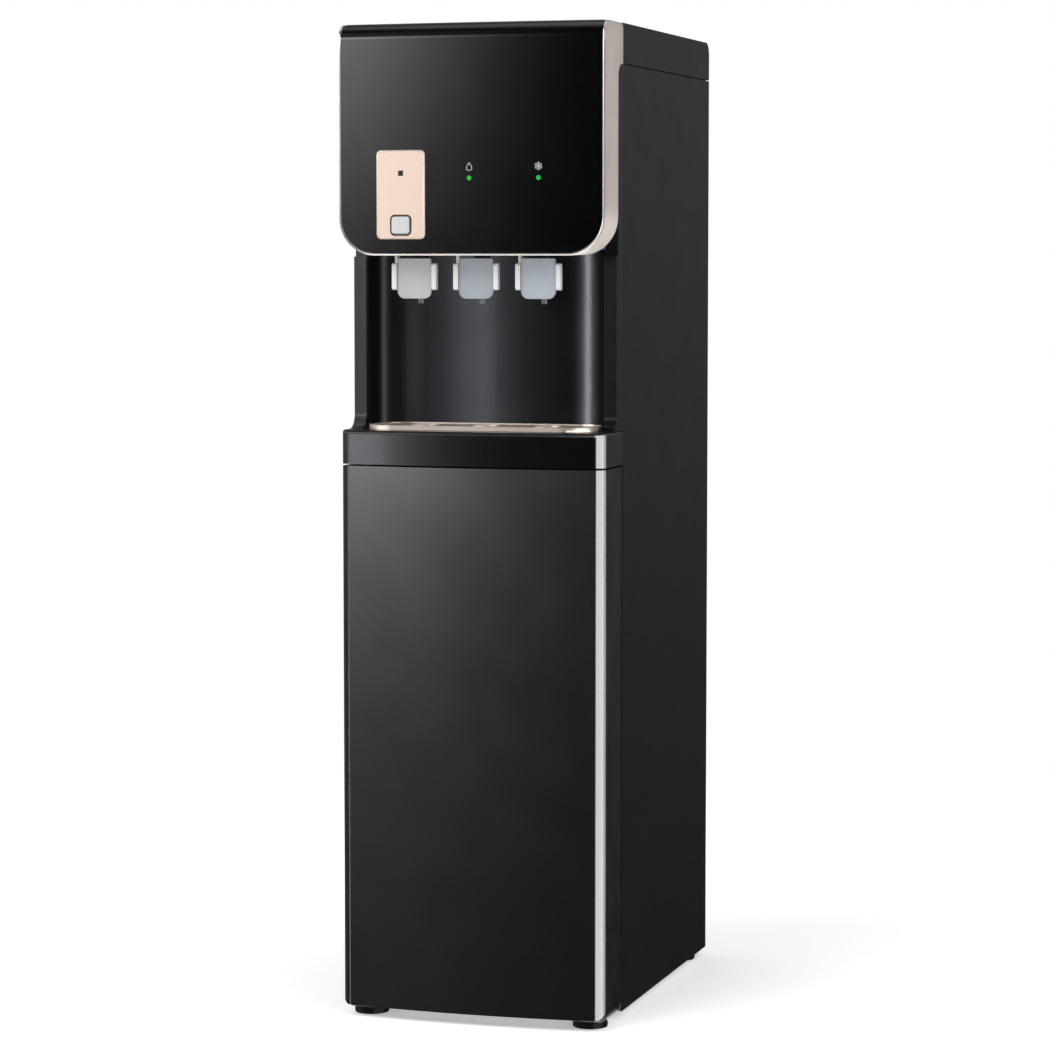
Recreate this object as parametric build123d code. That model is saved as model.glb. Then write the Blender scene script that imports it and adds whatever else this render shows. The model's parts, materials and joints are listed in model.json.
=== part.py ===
from build123d import *
import math
import os

# A free-standing water dispenser with a filter cabinet, an open alcove with three lever taps and a head.
# While modelling, Y is measured from the plane of the front corners back to the rear, Z from the floor up.
# X is zero in the middle. save() moves every piece so that the origin lies at the middle of the footprint.

# Whole machine
width = 290.0
depth = 430.0
height = 1050.0
front_bow = 10.0
head_bow = 4.0
front_corner = 12.0

# Heights of the storeys, counted down from the top, and the height of the base over the floor
cover_height = 42.0
head_height = 241.0
alcove_height = 183.0
shelf_height = 36.0
base_z = 8.0

# Material thicknesses
sheet = 1.2
base_sheet = 2.0
skin = 2.5
trim_skin = 2.4
inlay_skin = 2.4

# How far a cutting shape passes the face that it cuts: far outside the machine, and just through a wall
ahead = 60.0
over = 1.0

# Clearances
seam = 2.0
fine_seam = 1.0
running = 0.3
bore_play = 0.05
weld_gap = 0.05

# Lines shared by several pieces
side_front = 70.0
rear_recess = 30.0
rear_lip = 3.0
well_flange = 16.0

# Posts beside the alcove and the alcove itself
post_front = 45.0
post_face = 13.5
post_sweep = 15.0
tongue_depth = 11.0
bridge_height = 60.0
alcove_back = 138.0
alcove_corner = 56.0
ceiling_rise = 0.8

# Head
head_corner = 40.0
head_roll = 16.0
head_top_corner = 4.0
band_depth = 50.0
band_notch = 14.0
panel_skin = 3.0
panel_return = 20.0
cover_roll = 14.0

# Control plate, button and lights
plate_width = 53.7
plate_height = 92.3
plate_x = -75.3
plate_lift = 17.0
plate_corner = 5.0
plate_proud = 0.6
plate_skin = 1.4
button_width = 19.7
button_height = 17.9
button_corner = 3.0
button_edge = 0.8
button_gap = 1.3
button_rise = 5.5
button_proud = 1.6
button_travel = 1.8
button_collar = 2.5
button_collar_skin = 1.5
button_stem = 2.0
window_size = 5.5
window_drop = 24.0
window_sink = 0.1
light_radius = 2.5
light_pitch = 74.7
light_lift = 80.0
light_proud = 0.3
board_y = 14.0
board_skin = 1.6
board_width = 222.0
board_height = 100.0
stud_radius = 3.0
stud_inset = 8.0
push_switch = 6.0
push_switch_reach = 3.4
connector_xs = [-30.0, 40.0]
connector_width = 22.0
connector_height = 8.0
connector_lift = 60.0

# Taps
tap_pitch = 68.0
tap_y = 40.0
nozzle_radius = 3.0
nozzle_bore = 1.9
nozzle_drop = 50.5
nozzle_socket = 12.0
prong_slot = 2.0
prong_height = 5.0
neck_radius = 8.0
neck_drop = 9.0
seat_skin = 3.0
valve_radius = 9.0
valve_height = 34.0
valve_cap_radius = 11.0
valve_cap_height = 20.0
valve_port_radius = 4.0
valve_port_length = 8.0
tap_side_gap = 1.5
tap_front_gap = 4.0
tap_flange_lap = 6.0
pivot_y = 26.0
pivot_rise = 11.0
pin_radius = 2.0
sleeve_radius = 4.5
yoke_skin = 3.0
yoke_half = 25.5
yoke_rim = 2.0
paddle_width = 37.0
paddle_height = 42.0
paddle_drop = 3.0
paddle_corner = 8.0
paddle_top_corner = 2.0
paddle_front = 18.0
paddle_skin = 3.0
paddle_rim = 1.2
paddle_dish = 0.6
wing_width = 5.2
wing_gap = 0.8
wing_depth = 7.0
wing_proud = 1.5
wing_corner = 3.0
wing_drop = 8.0
wing_height = 28.0
web_inset = 3.0
arm_skin = 3.0
arm_depth = 8.0
arm_lap = 4.0
spring_wire = 0.45
spring_turns = 5
spring_room = 8.6
spring_length = 7.0

# Drip tray and its grid
tray_side_gap = 19.0
tray_front = 12.0
tray_back = 94.0
tray_corner = 32.0
tray_skin = 2.0
tray_depth = 24.0
tray_lip = 5.0
tray_proud = 1.8
grid_skin = 1.6
grid_rim = 2.6
grid_rim_width = 3.5
grid_lap = 1.2
dish_radius = 14.0
dish_depth = 1.8
dish_slot_width = 2.4
dish_slot_length = 17.0
dish_slot_pitch = 5.8

# Door, hinge and catch
door_rear = 66.0
door_bottom_corner = 9.0
door_wall = 3.0
hinge_inset = 12.0
hinge_pin_radius = 3.0
hinge_pin_reach = 10.0
hinge_boss_radius = 7.0
hinge_boss_height = 12.0
inlay_inset = 10.0
inlay_groove = 1.2
shelf_edge = 3.0
shelf_inlay_drop = 4.0
strike_depth = 12.0
strike_skin = 3.0
catch_width = 34.0
catch_height = 22.0
catch_z = 300.0
catch_skin = 3.0
catch_depth = 23.0
magnet_web = 6.0
magnet_edge = 2.0

# Feet
foot_radius = 18.0
foot_pad = 6.6
foot_edge = 1.0
foot_stem_radius = 5.0
foot_boss_radius = 9.0
foot_boss_height = 1.0
foot_inset = 23.0
foot_front_y = 30.0
foot_rear_inset = 35.0

# Decks inside the cabinet
lower_deck_rise = 14.0
upper_deck_rise = 37.0
deck_flange = 12.0
pipe_notch = 34.0

# Filters and their bracket
filter_count = 4
filter_pitch = 66.0
filter_radius = 27.0
filter_y = 126.0
filter_drop = 62.0
filter_height = 300.0
filter_foot_edge = 9.0
filter_top_edge = 4.0
filter_neck_radius = 17.0
filter_neck_height = 16.0
filter_ribs = 16
rib_width = 3.0
rib_proud = 1.2
rib_height = 28.0
rib_rise = 12.0
head_block_height = 34.0
head_block_gap = 3.0
head_pipe_radius = 4.0
head_pipe_drop = 8.0
bracket_height = 258.0

# Cold side
compressor_radius = 54.0
compressor_height = 128.0
compressor_top_edge = 30.0
compressor_foot_edge = 14.0
compressor_foot = 150.0
compressor_foot_depth = 96.0
compressor_side_gap = 4.8
compressor_rear_gap = 22.0
weld_rise = 62.0
weld_height = 4.0
weld_proud = 2.0
terminal_depth = 16.0
terminal_width = 36.0
terminal_rise = 30.0
terminal_height = 44.0
stub_length = 8.0
stub_root = 20.0
mount_radius = 9.0
mount_height = 14.0
mount_inset = 12.0
mount_neck = 4.5
mount_cap = 7.2
mount_cap_height = 3.0
condenser_side_gap = 9.8
condenser_drop = 29.0
condenser_pitch = 30.0
condenser_bend = 13.5
condenser_passes = 16
condenser_tube = 2.5
condenser_wire = 0.8
condenser_wires = 18
condenser_wire_end = 8.0
clip_half = 6.0
cold_tank_radius = 58.0
cold_tank_height = 190.0
cold_tank_edge = 16.0
cold_side_gap = 7.8
cold_rear_gap = 8.0
coil_turns = 6
coil_pitch = 16.0
coil_rise = 40.0
coil_tube = 3.5
cold_stub_radius = 6.0
foam_wall = 18.0
foam_foot = 18.0
foam_rim = 8.0

# Hot side
hot_tank_radius = 48.0
hot_tank_height = 150.0
hot_tank_edge = 14.0
hot_tank_lift = 24.0
hot_side_gap = 10.8
hot_front_gap = 14.5
hot_stub_radius = 5.0
hot_stub_length = 24.0
leg_circle = 28.0
leg_radius = 4.0
heater_rise = 36.0
heater_band_height = 40.0
heater_band_skin = 3.0
heater_block_width = 20.0
heater_block_depth = 8.0
heater_block_rise = 8.0
heater_block_height = 22.0

# Clean water tank
water_side_gap = 15.8
water_front_gap = 8.5
water_rear_gap = 20.0
water_tank_corner = 18.0
water_tank_height = 130.0
water_tank_skin = 3.0
water_lid_skin = 3.0
water_lid_lap = 10.0
water_float_radius = 7.0
water_float_height = 14.0

# Pump and shut-off valve
pump_side_gap = 22.0
pump_rear_gap = 24.0
pump_lift = 42.0
pump_motor_radius = 27.0
pump_motor_length = 70.0
pump_boss_radius = 10.0
pump_boss_length = 8.0
pump_head_radius = 32.0
pump_head_length = 44.0
pump_foot_skin = 3.0
pump_foot_lap = 6.0
pump_saddle_width = 10.0
pump_saddle_inset = 14.0
port_radius = 6.0
port_height = 8.0
port_pitch = 28.0
valve_side_gap = 31.8
valve_rear_gap = 160.0
valve_lift = 30.0
valve_body_radius = 8.0
valve_half_length = 24.0
valve_coil_width = 26.0
valve_coil_depth = 28.0
valve_coil_height = 24.0
valve_neck_radius = 6.0
valve_stand_skin = 2.0
valve_stand_width = 12.0
valve_stand_depth = 6.0

# Rear fittings
fitting_z = 150.0
fitting_side_gap = 47.8
fitting_pitch = 36.0
fitting_radius = 8.0
fitting_nut_radius = 11.0
fitting_nut_height = 6.0
fitting_bore = 3.25
fitting_bore_depth = 16.0
fitting_reach = 22.0
fitting_inside = 14.0
tube_socket = 12.0
drain_x = -60.0
drain_z = 240.0
drain_inside = 12.0
drain_reach = 10.0
drain_flange = 4.0
drain_radius = 11.0
drain_cap_height = 12.0
drain_cap_bore = 10.0
drain_cap_edge = 1.0
drain_cap_ribs = 12
drain_rib_width = 2.0
drain_rib_proud = 0.7
drain_rib_gap = 3.0

# Mains inlet
inlet_side_gap = 35.8
inlet_z = 150.0
inlet_width = 28.0
inlet_height = 20.0
inlet_corner = 2.0
inlet_flange = 6.0
inlet_flange_skin = 3.0
inlet_inside = 20.0
inlet_wall = 2.0
inlet_socket = 16.0
blade_pitch = 7.0
blade_width = 2.0
blade_height = 4.0
blade_length = 12.0

# Rear rocker switches
switch_drop = 48.0
switch_x = -50.0
switch_pitch = 32.0
switch_width = 13.0
switch_height = 22.0
switch_depth = 12.0
switch_lap = 2.0
switch_wall = 2.0
switch_well = 7.0
rocker_lean = 7.0
rocker_axle = 1.0
rocker_axle_out = 0.5
rocker_root = 3.0
rocker_crest = 2.0
rocker_tip = 1.0
rocker_end_gap = 0.8
rocker_undercut = 0.6

# Vents and screws of the rear
vent_rows = 8
vent_pitch = 9.0
vent_width = 70.0
vent_height = 3.6
vent_gap = 28.0
screw_radius = 3.5
screw_head = 1.8
screw_shank = 1.6
screw_length = 4.0
screw_rows = 5
screw_slot = 0.8
screw_cross = 4.0

# Tubes
water_tube = 3.2
water_bend = 20.0
link_bend = 12.0
riser_bend = 8.0
riser_inset = 17.0
riser_gap = 10.0
riser_top = 84.0
pipe_tube = 3.0
pipe_swing = 18.0
pipe_bend = 8.0
pipe_run = 30.0

# Levels and lines worked out from the sizes above
half = width / 2
inside = half - sheet
cover_seam = height - cover_height
head_bottom = height - head_height
shelf_top = head_bottom - alcove_height
shelf_bottom = shelf_top - shelf_height
base_top = base_z + base_sheet
door_bottom = base_top + seam
door_top = shelf_bottom - seam
hinge_x = -(half - hinge_inset)
hinge_y = door_rear - hinge_inset
strip_front = band_depth + running
post_inner = half - post_face
flange_y = depth - rear_lip
panel_y = depth - rear_recess
panel_half = half - trim_skin - running
panel_bottom = head_bottom + trim_skin + running
housing_half = half - trim_skin
housing_bottom = head_bottom + trim_skin
housing_floor = housing_bottom + skin
cover_front = side_front - fine_seam
deck_front = alcove_back + skin + fine_seam
rear_well = inside - well_flange
inlay_half = half - inlay_inset
tray_half = half - tray_side_gap
tray_top = shelf_top + tray_proud
foot_x = half - foot_inset
foot_rear_y = depth - foot_rear_inset
lower_deck_z = shelf_bottom + lower_deck_rise
upper_deck_z = head_bottom + upper_deck_rise

# Places of the controls and the taps
plate_bottom = head_bottom + plate_lift
plate_z = plate_bottom + plate_height / 2
button_z = plate_bottom + button_rise + button_height / 2
window_z = plate_bottom + plate_height - window_drop
light_xs = [0.0, light_pitch]
light_z = head_bottom + light_lift
tap_xs = [-tap_pitch, 0.0, tap_pitch]
tap_names = ["left", "middle", "right"]
tap_opening_half = yoke_half + tap_side_gap
pivot_z = head_bottom + pivot_rise
neck_bottom = head_bottom - neck_drop
nozzle_tip = head_bottom - nozzle_drop
paddle_bottom = head_bottom - paddle_drop - paddle_height
wing_top = head_bottom - wing_drop
wing_bottom = wing_top - wing_height

# Places of the pieces inside
filter_xs = [filter_pitch * (i - (filter_count - 1) / 2) for i in range(filter_count)]
filter_top = shelf_bottom - filter_drop
bracket_y = filter_y + filter_radius + head_block_gap
bracket_top = shelf_bottom - seam
head_line_z = filter_top + running + head_block_height - head_pipe_drop
compressor_x = inside - base_sheet - compressor_side_gap - compressor_foot / 2
compressor_y = panel_y - compressor_rear_gap - compressor_foot_depth / 2
compressor_z = base_top + mount_height
condenser_half = rear_well - pipe_swing - condenser_side_gap
cold_tank_x = inside - cold_side_gap - foam_wall - cold_tank_radius
cold_tank_y = panel_y - cold_rear_gap - foam_wall - cold_tank_radius
hot_tank_x = -(inside - hot_side_gap - heater_band_skin - hot_tank_radius)
hot_tank_y = deck_front + hot_front_gap + heater_band_skin + hot_tank_radius
water_tank_half = inside - water_side_gap
water_tank_front = deck_front + water_front_gap
water_tank_rear = panel_y - water_rear_gap
pump_x = compressor_x - pump_side_gap
pump_foot_half = pump_motor_radius + pump_foot_lap
pump_y = compressor_y - compressor_foot_depth / 2 - pump_rear_gap - pump_foot_half
pump_z = base_top + pump_lift
port_x = pump_x + pump_motor_length / 2 - pump_head_length / 2
port_top = pump_z + pump_head_radius + port_height
valve_x = -(inside - valve_side_gap)
valve_y = panel_y - valve_rear_gap
valve_z = base_top + valve_lift
fitting_xs = [-(inside - fitting_side_gap) + i * fitting_pitch for i in range(2)]
inlet_x = rear_well - inlet_side_gap
switch_z = cover_seam - switch_drop
switch_xs = [switch_x, switch_x + switch_pitch]
rocker_y = panel_y + sheet + rocker_axle_out
origin_y = (depth - front_bow) / 2


# Small building blocks


def block(x0, x1, y0, y1, z0, z1):
    """A box between two corners."""
    middle = Pos((x0 + x1) / 2, (y0 + y1) / 2, (z0 + z1) / 2)
    return middle * Box(x1 - x0, y1 - y0, z1 - z0)


def post(x, y, z0, z1, radius):
    """A round bar standing upright."""
    return Pos(x, y, (z0 + z1) / 2) * Cylinder(radius, z1 - z0)


def rod_y(x, z, y0, y1, radius):
    """A round bar that runs front to back."""
    return Pos(x, (y0 + y1) / 2, z) * Rot(X=90) * Cylinder(radius, y1 - y0)


def rod_x(y, z, x0, x1, radius):
    """A round bar that runs left to right."""
    return Pos((x0 + x1) / 2, y, z) * Rot(Y=90) * Cylinder(radius, x1 - x0)


def upright(outline, y0, y1):
    """A front-view outline (X, Z) given a thickness from y0 back to y1."""
    return extrude(Plane.XZ.offset(-y0) * outline, amount=y0 - y1)


def sideways(outline, x0, x1):
    """A side-view outline (Y, Z) given a width from x0 to x1."""
    return extrude(Plane.YZ.offset(x0) * outline, amount=x1 - x0)


def rise(outline, z0, z1):
    """A plan outline (X, Y) given a height from z0 to z1."""
    return extrude(Pos(0, 0, z0) * outline, amount=z1 - z0)


def rounded(x0, x1, v0, v1, radius):
    """A rounded rectangle between two corners of a flat outline."""
    return Pos((x0 + x1) / 2, (v0 + v1) / 2) * RectangleRounded(x1 - x0, v1 - v0, radius)


def bowed_plan(half_width, bow, back, corner=0.0):
    """Plan outline with a bowed front edge, straight sides and a straight back."""
    front = ThreePointArc((-half_width, 0), (0, -bow), (half_width, 0))
    rest = Polyline((half_width, 0), (half_width, back), (-half_width, back), (-half_width, 0))
    outline = make_face(front + rest)
    if corner > 0:
        outline = fillet(outline.vertices().group_by(Axis.Y)[0], corner)
    return outline


def bow_y(x, bow):
    """Y of a bowed front surface at a given X."""
    radius = (half ** 2 + bow ** 2) / (2 * bow)
    return radius - bow - math.sqrt(radius ** 2 - x ** 2)


def bowed_sheet(bow, y0, y1, z0, z1):
    """An upright sheet that follows the bow of a front, between two depths behind its surface."""
    outer = bowed_plan(half, bow, 2 * ahead)
    slab = rise(Pos(0, y0) * outer, z0, z1)
    return slab - rise(Pos(0, y1) * outer, z0 - over, z1 + over)


def shield_outline(half_width, bottom, top, bottom_corner, top_corner):
    """Front outline of the head: large lower corners and small upper ones."""
    outline = Pos(0, (bottom + top) / 2) * Rectangle(2 * half_width, top - bottom)
    outline = fillet(outline.vertices().group_by(Axis.Y)[0], bottom_corner)
    return fillet(outline.vertices().group_by(Axis.Y)[-1], top_corner)


def tube(points, bend, radius):
    """A round tube along straight runs joined by arcs."""
    path = FilletPolyline(*points, radius=bend)
    section = Plane(origin=path @ 0, z_dir=path % 0) * Circle(radius)
    return sweep(section, path=path)


def save(name, piece):
    """Moves a piece to the shared origin and writes it."""
    moved = Pos(0, -origin_y, 0) * piece
    solids = moved.solids()
    shape = solids[0] if len(solids) == 1 else Compound(children=list(solids))
    shape.label = name
    export_step(shape, os.path.join("parts", name + ".step"))
    print(name, len(solids), "solids")


# Cabinet: base, sides, rear and roof


def foot_places():
    """The four places where a foot is screwed in."""
    return [(x, y) for y in (foot_front_y, foot_rear_y) for x in (-foot_x, foot_x)]


def base_plate():
    """Folded steel base that carries the feet, the hinge pin, the compressor and the pump."""
    plate = block(-inside, inside, side_front + seam, panel_y, base_z, base_top)
    nose_half = half - front_corner / 2
    plate += block(-nose_half, nose_half, front_corner, side_front + seam, base_z, base_top)
    for side in (-1, 1):
        rim = sorted((side * inside, side * (inside - base_sheet)))
        plate += block(rim[0], rim[1], side_front + seam, panel_y, base_z, base_top + deck_flange)
    for x, y in foot_places():
        plate += post(x, y, base_z - foot_boss_height, base_z, foot_boss_radius)
        plate -= post(x, y, 0, base_top + over, foot_stem_radius + bore_play)
    return plate - post(hinge_x, hinge_y, base_z, base_top, hinge_pin_radius)


def foot(x, y):
    """Levelling foot: a broad pad on a threaded stem."""
    pad = post(x, y, 0, foot_pad, foot_radius)
    pad = chamfer(pad.edges().group_by(Axis.Z)[-1], foot_edge)
    return pad + post(x, y, foot_pad, base_top, foot_stem_radius)


def side_panel(side):
    """Large flat side with a return flange at the rear."""
    def across(near, far):
        return sorted((side * near, side * far))

    x0, x1 = across(inside, half)
    panel = block(x0, x1, side_front, depth, base_z, cover_seam - fine_seam)
    x0, x1 = across(rear_well + sheet, inside)
    return panel + block(x0, x1, flange_y - sheet, flange_y, base_z, cover_seam - fine_seam)


def rear_panel():
    """Rear wall, set back between two flanges to leave a well for the condenser."""
    flange_top = cover_seam - fine_seam
    wall = block(-rear_well, rear_well, panel_y, panel_y + sheet, base_top, height - skin)
    wall += block(-inside, inside, panel_y, panel_y + sheet, base_z, base_top)
    for side in (-1, 1):
        x0, x1 = sorted((side * rear_well, side * (rear_well + sheet)))
        wall += block(x0, x1, panel_y, flange_y - sheet, base_top, flange_top)
        x0, x1 = sorted((side * rear_well, side * inside))
        wall += block(x0, x1, flange_y - 2 * sheet, flange_y - sheet, base_z, flange_top)
    for x, z in vent_places():
        slot = Pos(x, z) * SlotOverall(vent_width, vent_height)
        wall -= upright(slot, panel_y - over, panel_y + sheet + over)
    for x, z in [(x, fitting_z) for x in fitting_xs] + [(drain_x, drain_z)]:
        wall -= rod_y(x, z, panel_y, panel_y + sheet, fitting_radius)
    hole = RectangleRounded(inlet_width, inlet_height, inlet_corner)
    wall -= upright(Pos(inlet_x, inlet_z) * hole, panel_y, panel_y + sheet)
    for x in switch_xs:
        hole = Pos(x, switch_z) * Rectangle(switch_width, switch_height)
        wall -= upright(hole, panel_y, panel_y + sheet)
    for x, z in pipe_places():
        wall -= rod_y(x, z, panel_y - over, panel_y + sheet + over, pipe_tube + running)
    return wall


def vent_places():
    """Middles of the vent slots, in two columns at the foot of the rear wall."""
    low = base_top + 2 * deck_flange + vent_height / 2
    reach = (vent_width + vent_gap) / 2
    return [(x, low + i * vent_pitch) for i in range(vent_rows) for x in (-reach, reach)]


def top_cover():
    """Roof: a hollow lid over the sides, with a tongue that runs forward between the trim cheeks."""
    outer = block(-half, half, cover_front, depth, cover_seam, height)
    rear_edge = outer.edges().filter_by(Axis.X).group_by(Axis.Z)[-1].sort_by(Axis.Y)[-1]
    outer = fillet(rear_edge, cover_roll)
    hollow = block(-half + skin, half - skin, cover_front - over, depth - skin,
                   cover_seam - over, height - skin)
    inner_edge = hollow.edges().filter_by(Axis.X).group_by(Axis.Z)[-1].sort_by(Axis.Y)[-1]
    hollow = fillet(inner_edge, cover_roll - skin)
    tongue_half = half - trim_skin - running
    back = panel_return + running
    tongue = block(-tongue_half, tongue_half, back, cover_front + skin, height - skin, height)
    return outer - hollow + tongue


def screw_places():
    """Places of the rear screws, up both flanges."""
    low = base_top + 3 * deck_flange
    step = (cover_seam - 4 * deck_flange - low) / (screw_rows - 1)
    x = (rear_well + inside) / 2 + sheet
    return [(side * x, low + i * step) for side in (-1, 1) for i in range(screw_rows)]


def drilled(piece):
    """Cuts the rear screw holes through a flange."""
    for x, z in screw_places():
        piece -= rod_y(x, z, flange_y - 3 * sheet, flange_y + over, screw_shank)
    return piece


def rear_screws():
    """Pan-head screws through the flanges of the sides and the rear wall."""
    screws = []
    for x, z in screw_places():
        head = rod_y(x, z, flange_y, flange_y + screw_head, screw_radius)
        slot_floor = flange_y + screw_head - screw_slot
        cross = upright(Pos(x, z) * Rectangle(screw_cross, screw_slot), slot_floor, depth)
        cross += upright(Pos(x, z) * Rectangle(screw_slot, screw_cross), slot_floor, depth)
        screws.append(head - cross + rod_y(x, z, flange_y - screw_length, flange_y, screw_shank))
    return Compound(children=screws)


def deck(z):
    """Folded shelf across the cabinet with pipe notches at its rear corners."""
    plate = block(-inside, inside, deck_front, panel_y, z, z + sheet)
    for side in (-1, 1):
        x0, x1 = sorted((side * inside, side * (inside - sheet)))
        plate += block(x0, x1, deck_front, panel_y, z - deck_flange, z)
        x0, x1 = sorted((side * inside, side * (inside - pipe_notch)))
        plate -= block(x0, x1, panel_y - pipe_notch, panel_y, z - 2 * deck_flange, z + sheet)
    return plate


def tank_decks():
    """The lower and the upper deck."""
    return Compound(children=[deck(lower_deck_z), deck(upper_deck_z)])


# Front: posts, alcove, shelf and door


def post_section(side):
    """Outline in plan of one post: its front wall, its outer wall and a tongue inside the side panel."""
    walls = Pos(side * (half + post_inner) / 2, post_front + skin / 2) * Rectangle(post_face, skin)
    outer_depth = cover_front - post_front
    walls += Pos(side * (half - skin / 2), post_front + outer_depth / 2) * Rectangle(skin, outer_depth)
    root = cover_front - skin
    tongue = Rectangle(skin, tongue_depth + skin)
    return walls + Pos(side * (inside - skin / 2), root + (tongue_depth + skin) / 2) * tongue


def post_profile():
    """Side view of a post: its foot sweeps forward and its head steps back behind the trim."""
    top = cover_seam - fine_seam
    step = head_bottom - fine_seam
    low = shelf_top
    front = post_front
    back = cover_front + tongue_depth
    outline = make_face(
        Polyline((front - post_sweep, low), (back, low), (back, top), (strip_front + band_notch, top))
        + RadiusArc((strip_front + band_notch, top), (strip_front, top - band_notch), -band_notch)
        + Polyline((strip_front, top - band_notch), (strip_front, step), (front, step),
                   (front, low + post_sweep))
        + RadiusArc((front, low + post_sweep), (front - post_sweep, low), post_sweep)
    )
    return outline


def front_frame():
    """Black moulding: two posts beside the alcove that run up behind the trim, joined by a bridge."""
    profile = sideways(post_profile(), -half, half)
    frame = Part()
    for side in (-1, 1):
        walls = rise(post_section(side), shelf_top, cover_seam)
        x0, x1 = sorted((side * post_inner, side * half))
        walls += block(x0, x1, post_front - post_sweep, post_front + skin, shelf_top, shelf_top + post_sweep)
        walls += block(x0, x1, strip_front, strip_front + skin, head_bottom - skin, cover_seam)
        frame += walls & profile
    bridge_bottom = plate_z + plate_height / 2 + skin
    bridge = block(-post_inner - skin, post_inner + skin, strip_front, strip_front + skin,
                   bridge_bottom, bridge_bottom + bridge_height)
    return frame + bridge


def alcove_liner():
    """Glossy recess with large rounded rear corners, and its ceiling."""
    front = post_front + running
    outer_half = post_inner
    inner_half = outer_half - skin
    ceiling = housing_bottom + ceiling_rise
    outer = Pos(0, (front + alcove_back + skin) / 2) * Rectangle(2 * outer_half, alcove_back + skin - front)
    outer = fillet(outer.vertices().group_by(Axis.Y)[-1], alcove_corner + skin)
    inner = Pos(0, alcove_back / 2) * Rectangle(2 * inner_half, alcove_back)
    inner = fillet(inner.vertices().group_by(Axis.Y)[-1], alcove_corner)
    liner = rise(outer, shelf_top, ceiling + skin) - rise(inner, shelf_top - over, ceiling)
    return liner - block(-half, half, 0, strip_front, head_bottom - fine_seam, height)


def tray_outline(grow):
    """Plan outline of the drip tray, made larger by the given amount."""
    half = tray_half + grow
    return rounded(-half, half, tray_front - grow, tray_back + grow, tray_corner + grow)


def shelf_housing():
    """Shelf under the alcove: a hollow moulding with a well for the drip tray."""
    plan = bowed_plan(half, front_bow, side_front - fine_seam, front_corner)
    rear = block(-inside, inside, side_front - seam, alcove_back + skin, shelf_bottom, shelf_top)
    outer = rise(plan, shelf_bottom, shelf_top) + rear
    rim = outer.edges().group_by(Axis.Z)[-1].filter_by(lambda e: e.center().Y < front_corner / 2)
    outer = fillet(rim, shelf_edge)
    low = shelf_bottom - over
    wall = inlay_skin + skin
    inner_plan = Pos(0, wall) * bowed_plan(half - skin, front_bow, side_front, front_corner - skin)
    hollow = rise(inner_plan, low, shelf_top - skin)
    hollow &= block(-half, half, -ahead, side_front - seam, low, shelf_top)
    rear_half = inside - skin
    hollow += block(-rear_half, rear_half, side_front - 2 * seam, alcove_back, low, shelf_top - skin)
    well_floor = shelf_top - tray_depth - running
    well = rise(tray_outline(running - tray_lip), well_floor, shelf_top + over)
    well += rise(tray_outline(running), shelf_top - tray_skin, shelf_top + over)
    lining = rise(tray_outline(running - tray_lip + skin), well_floor - skin, shelf_top - skin)
    lining += rise(tray_outline(running + skin), shelf_top - tray_skin - skin, shelf_top - skin)
    housing = outer - (hollow - lining)
    boss = post(hinge_x, hinge_y, shelf_bottom, shelf_top - skin / 2, hinge_boss_radius)
    housing = housing + (boss & outer) - well
    housing -= inlay_recess(shelf_bottom, inlay_top())
    return housing - post(hinge_x, hinge_y, shelf_bottom, shelf_bottom + hinge_pin_reach, hinge_pin_radius)


def inlay_top():
    """Level where the inlay of the shelf front ends."""
    return shelf_top - shelf_inlay_drop


def front_inlay(z0, z1):
    """Coloured front sheet that follows the bow and leaves a thin groove at each side."""
    strip = bowed_sheet(front_bow, 0, inlay_skin, z0, z1)
    return strip & block(-inlay_half, inlay_half, -ahead, ahead, z0, z1)


def inlay_recess(z0, z1):
    """Shallow recess for a front sheet, wider by the groove at each side."""
    reach = inlay_half + inlay_groove
    recess = bowed_sheet(front_bow, -ahead, inlay_skin, z0, z1)
    return recess & block(-reach, reach, -2 * ahead, ahead, z0, z1)


def door_outline(half_width, bottom, corner):
    """Front outline of the door, with rounded lower corners."""
    outline = Pos(0, (bottom + door_top) / 2) * Rectangle(2 * half_width, door_top - bottom)
    return fillet(outline.vertices().group_by(Axis.Y)[0], corner)


def door_frame():
    """Deep door moulding: bowed front wall, sides, top and bottom, open at the rear."""
    plan = bowed_plan(half, front_bow, door_rear, front_corner)
    outer = rise(plan, door_bottom, door_top)
    outer &= upright(door_outline(half, door_bottom, door_bottom_corner), -ahead, door_rear)
    wall = inlay_skin + door_wall
    inner_plan = Pos(0, wall) * bowed_plan(half - door_wall, front_bow, door_rear, front_corner - door_wall)
    inner = rise(inner_plan, door_bottom + door_wall, door_top - door_wall)
    inner_outline = door_outline(half - door_wall, door_bottom + door_wall, door_bottom_corner - door_wall)
    inner &= upright(inner_outline, -ahead, 2 * door_rear)
    frame = outer - inner
    for z0, z1 in hinge_boss_levels():
        frame += post(hinge_x, hinge_y, z0, z1, hinge_boss_radius)
    frame &= rise(bowed_plan(half, front_bow, door_rear, front_corner), door_bottom, door_top)
    frame -= post(hinge_x, hinge_y, 0, shelf_top, hinge_pin_radius + bore_play)
    frame -= inlay_recess(door_bottom, door_top)
    strike_front = door_rear - strike_depth
    strike = block(half - door_wall - catch_width, half - door_wall, strike_front, strike_front + strike_skin,
                   catch_z, catch_z + catch_height)
    return frame + strike


def hinge_boss_levels():
    """Heights of the two bushes that turn on the hinge pins."""
    return [(door_bottom, door_bottom + hinge_boss_height), (door_top - hinge_boss_height, door_top)]


def door_inlay():
    """Large front sheet of the door, with the lower corners of the door."""
    outline = door_outline(half, door_bottom, door_bottom_corner)
    return front_inlay(door_bottom, door_top) & upright(outline, -ahead, ahead)


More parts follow.
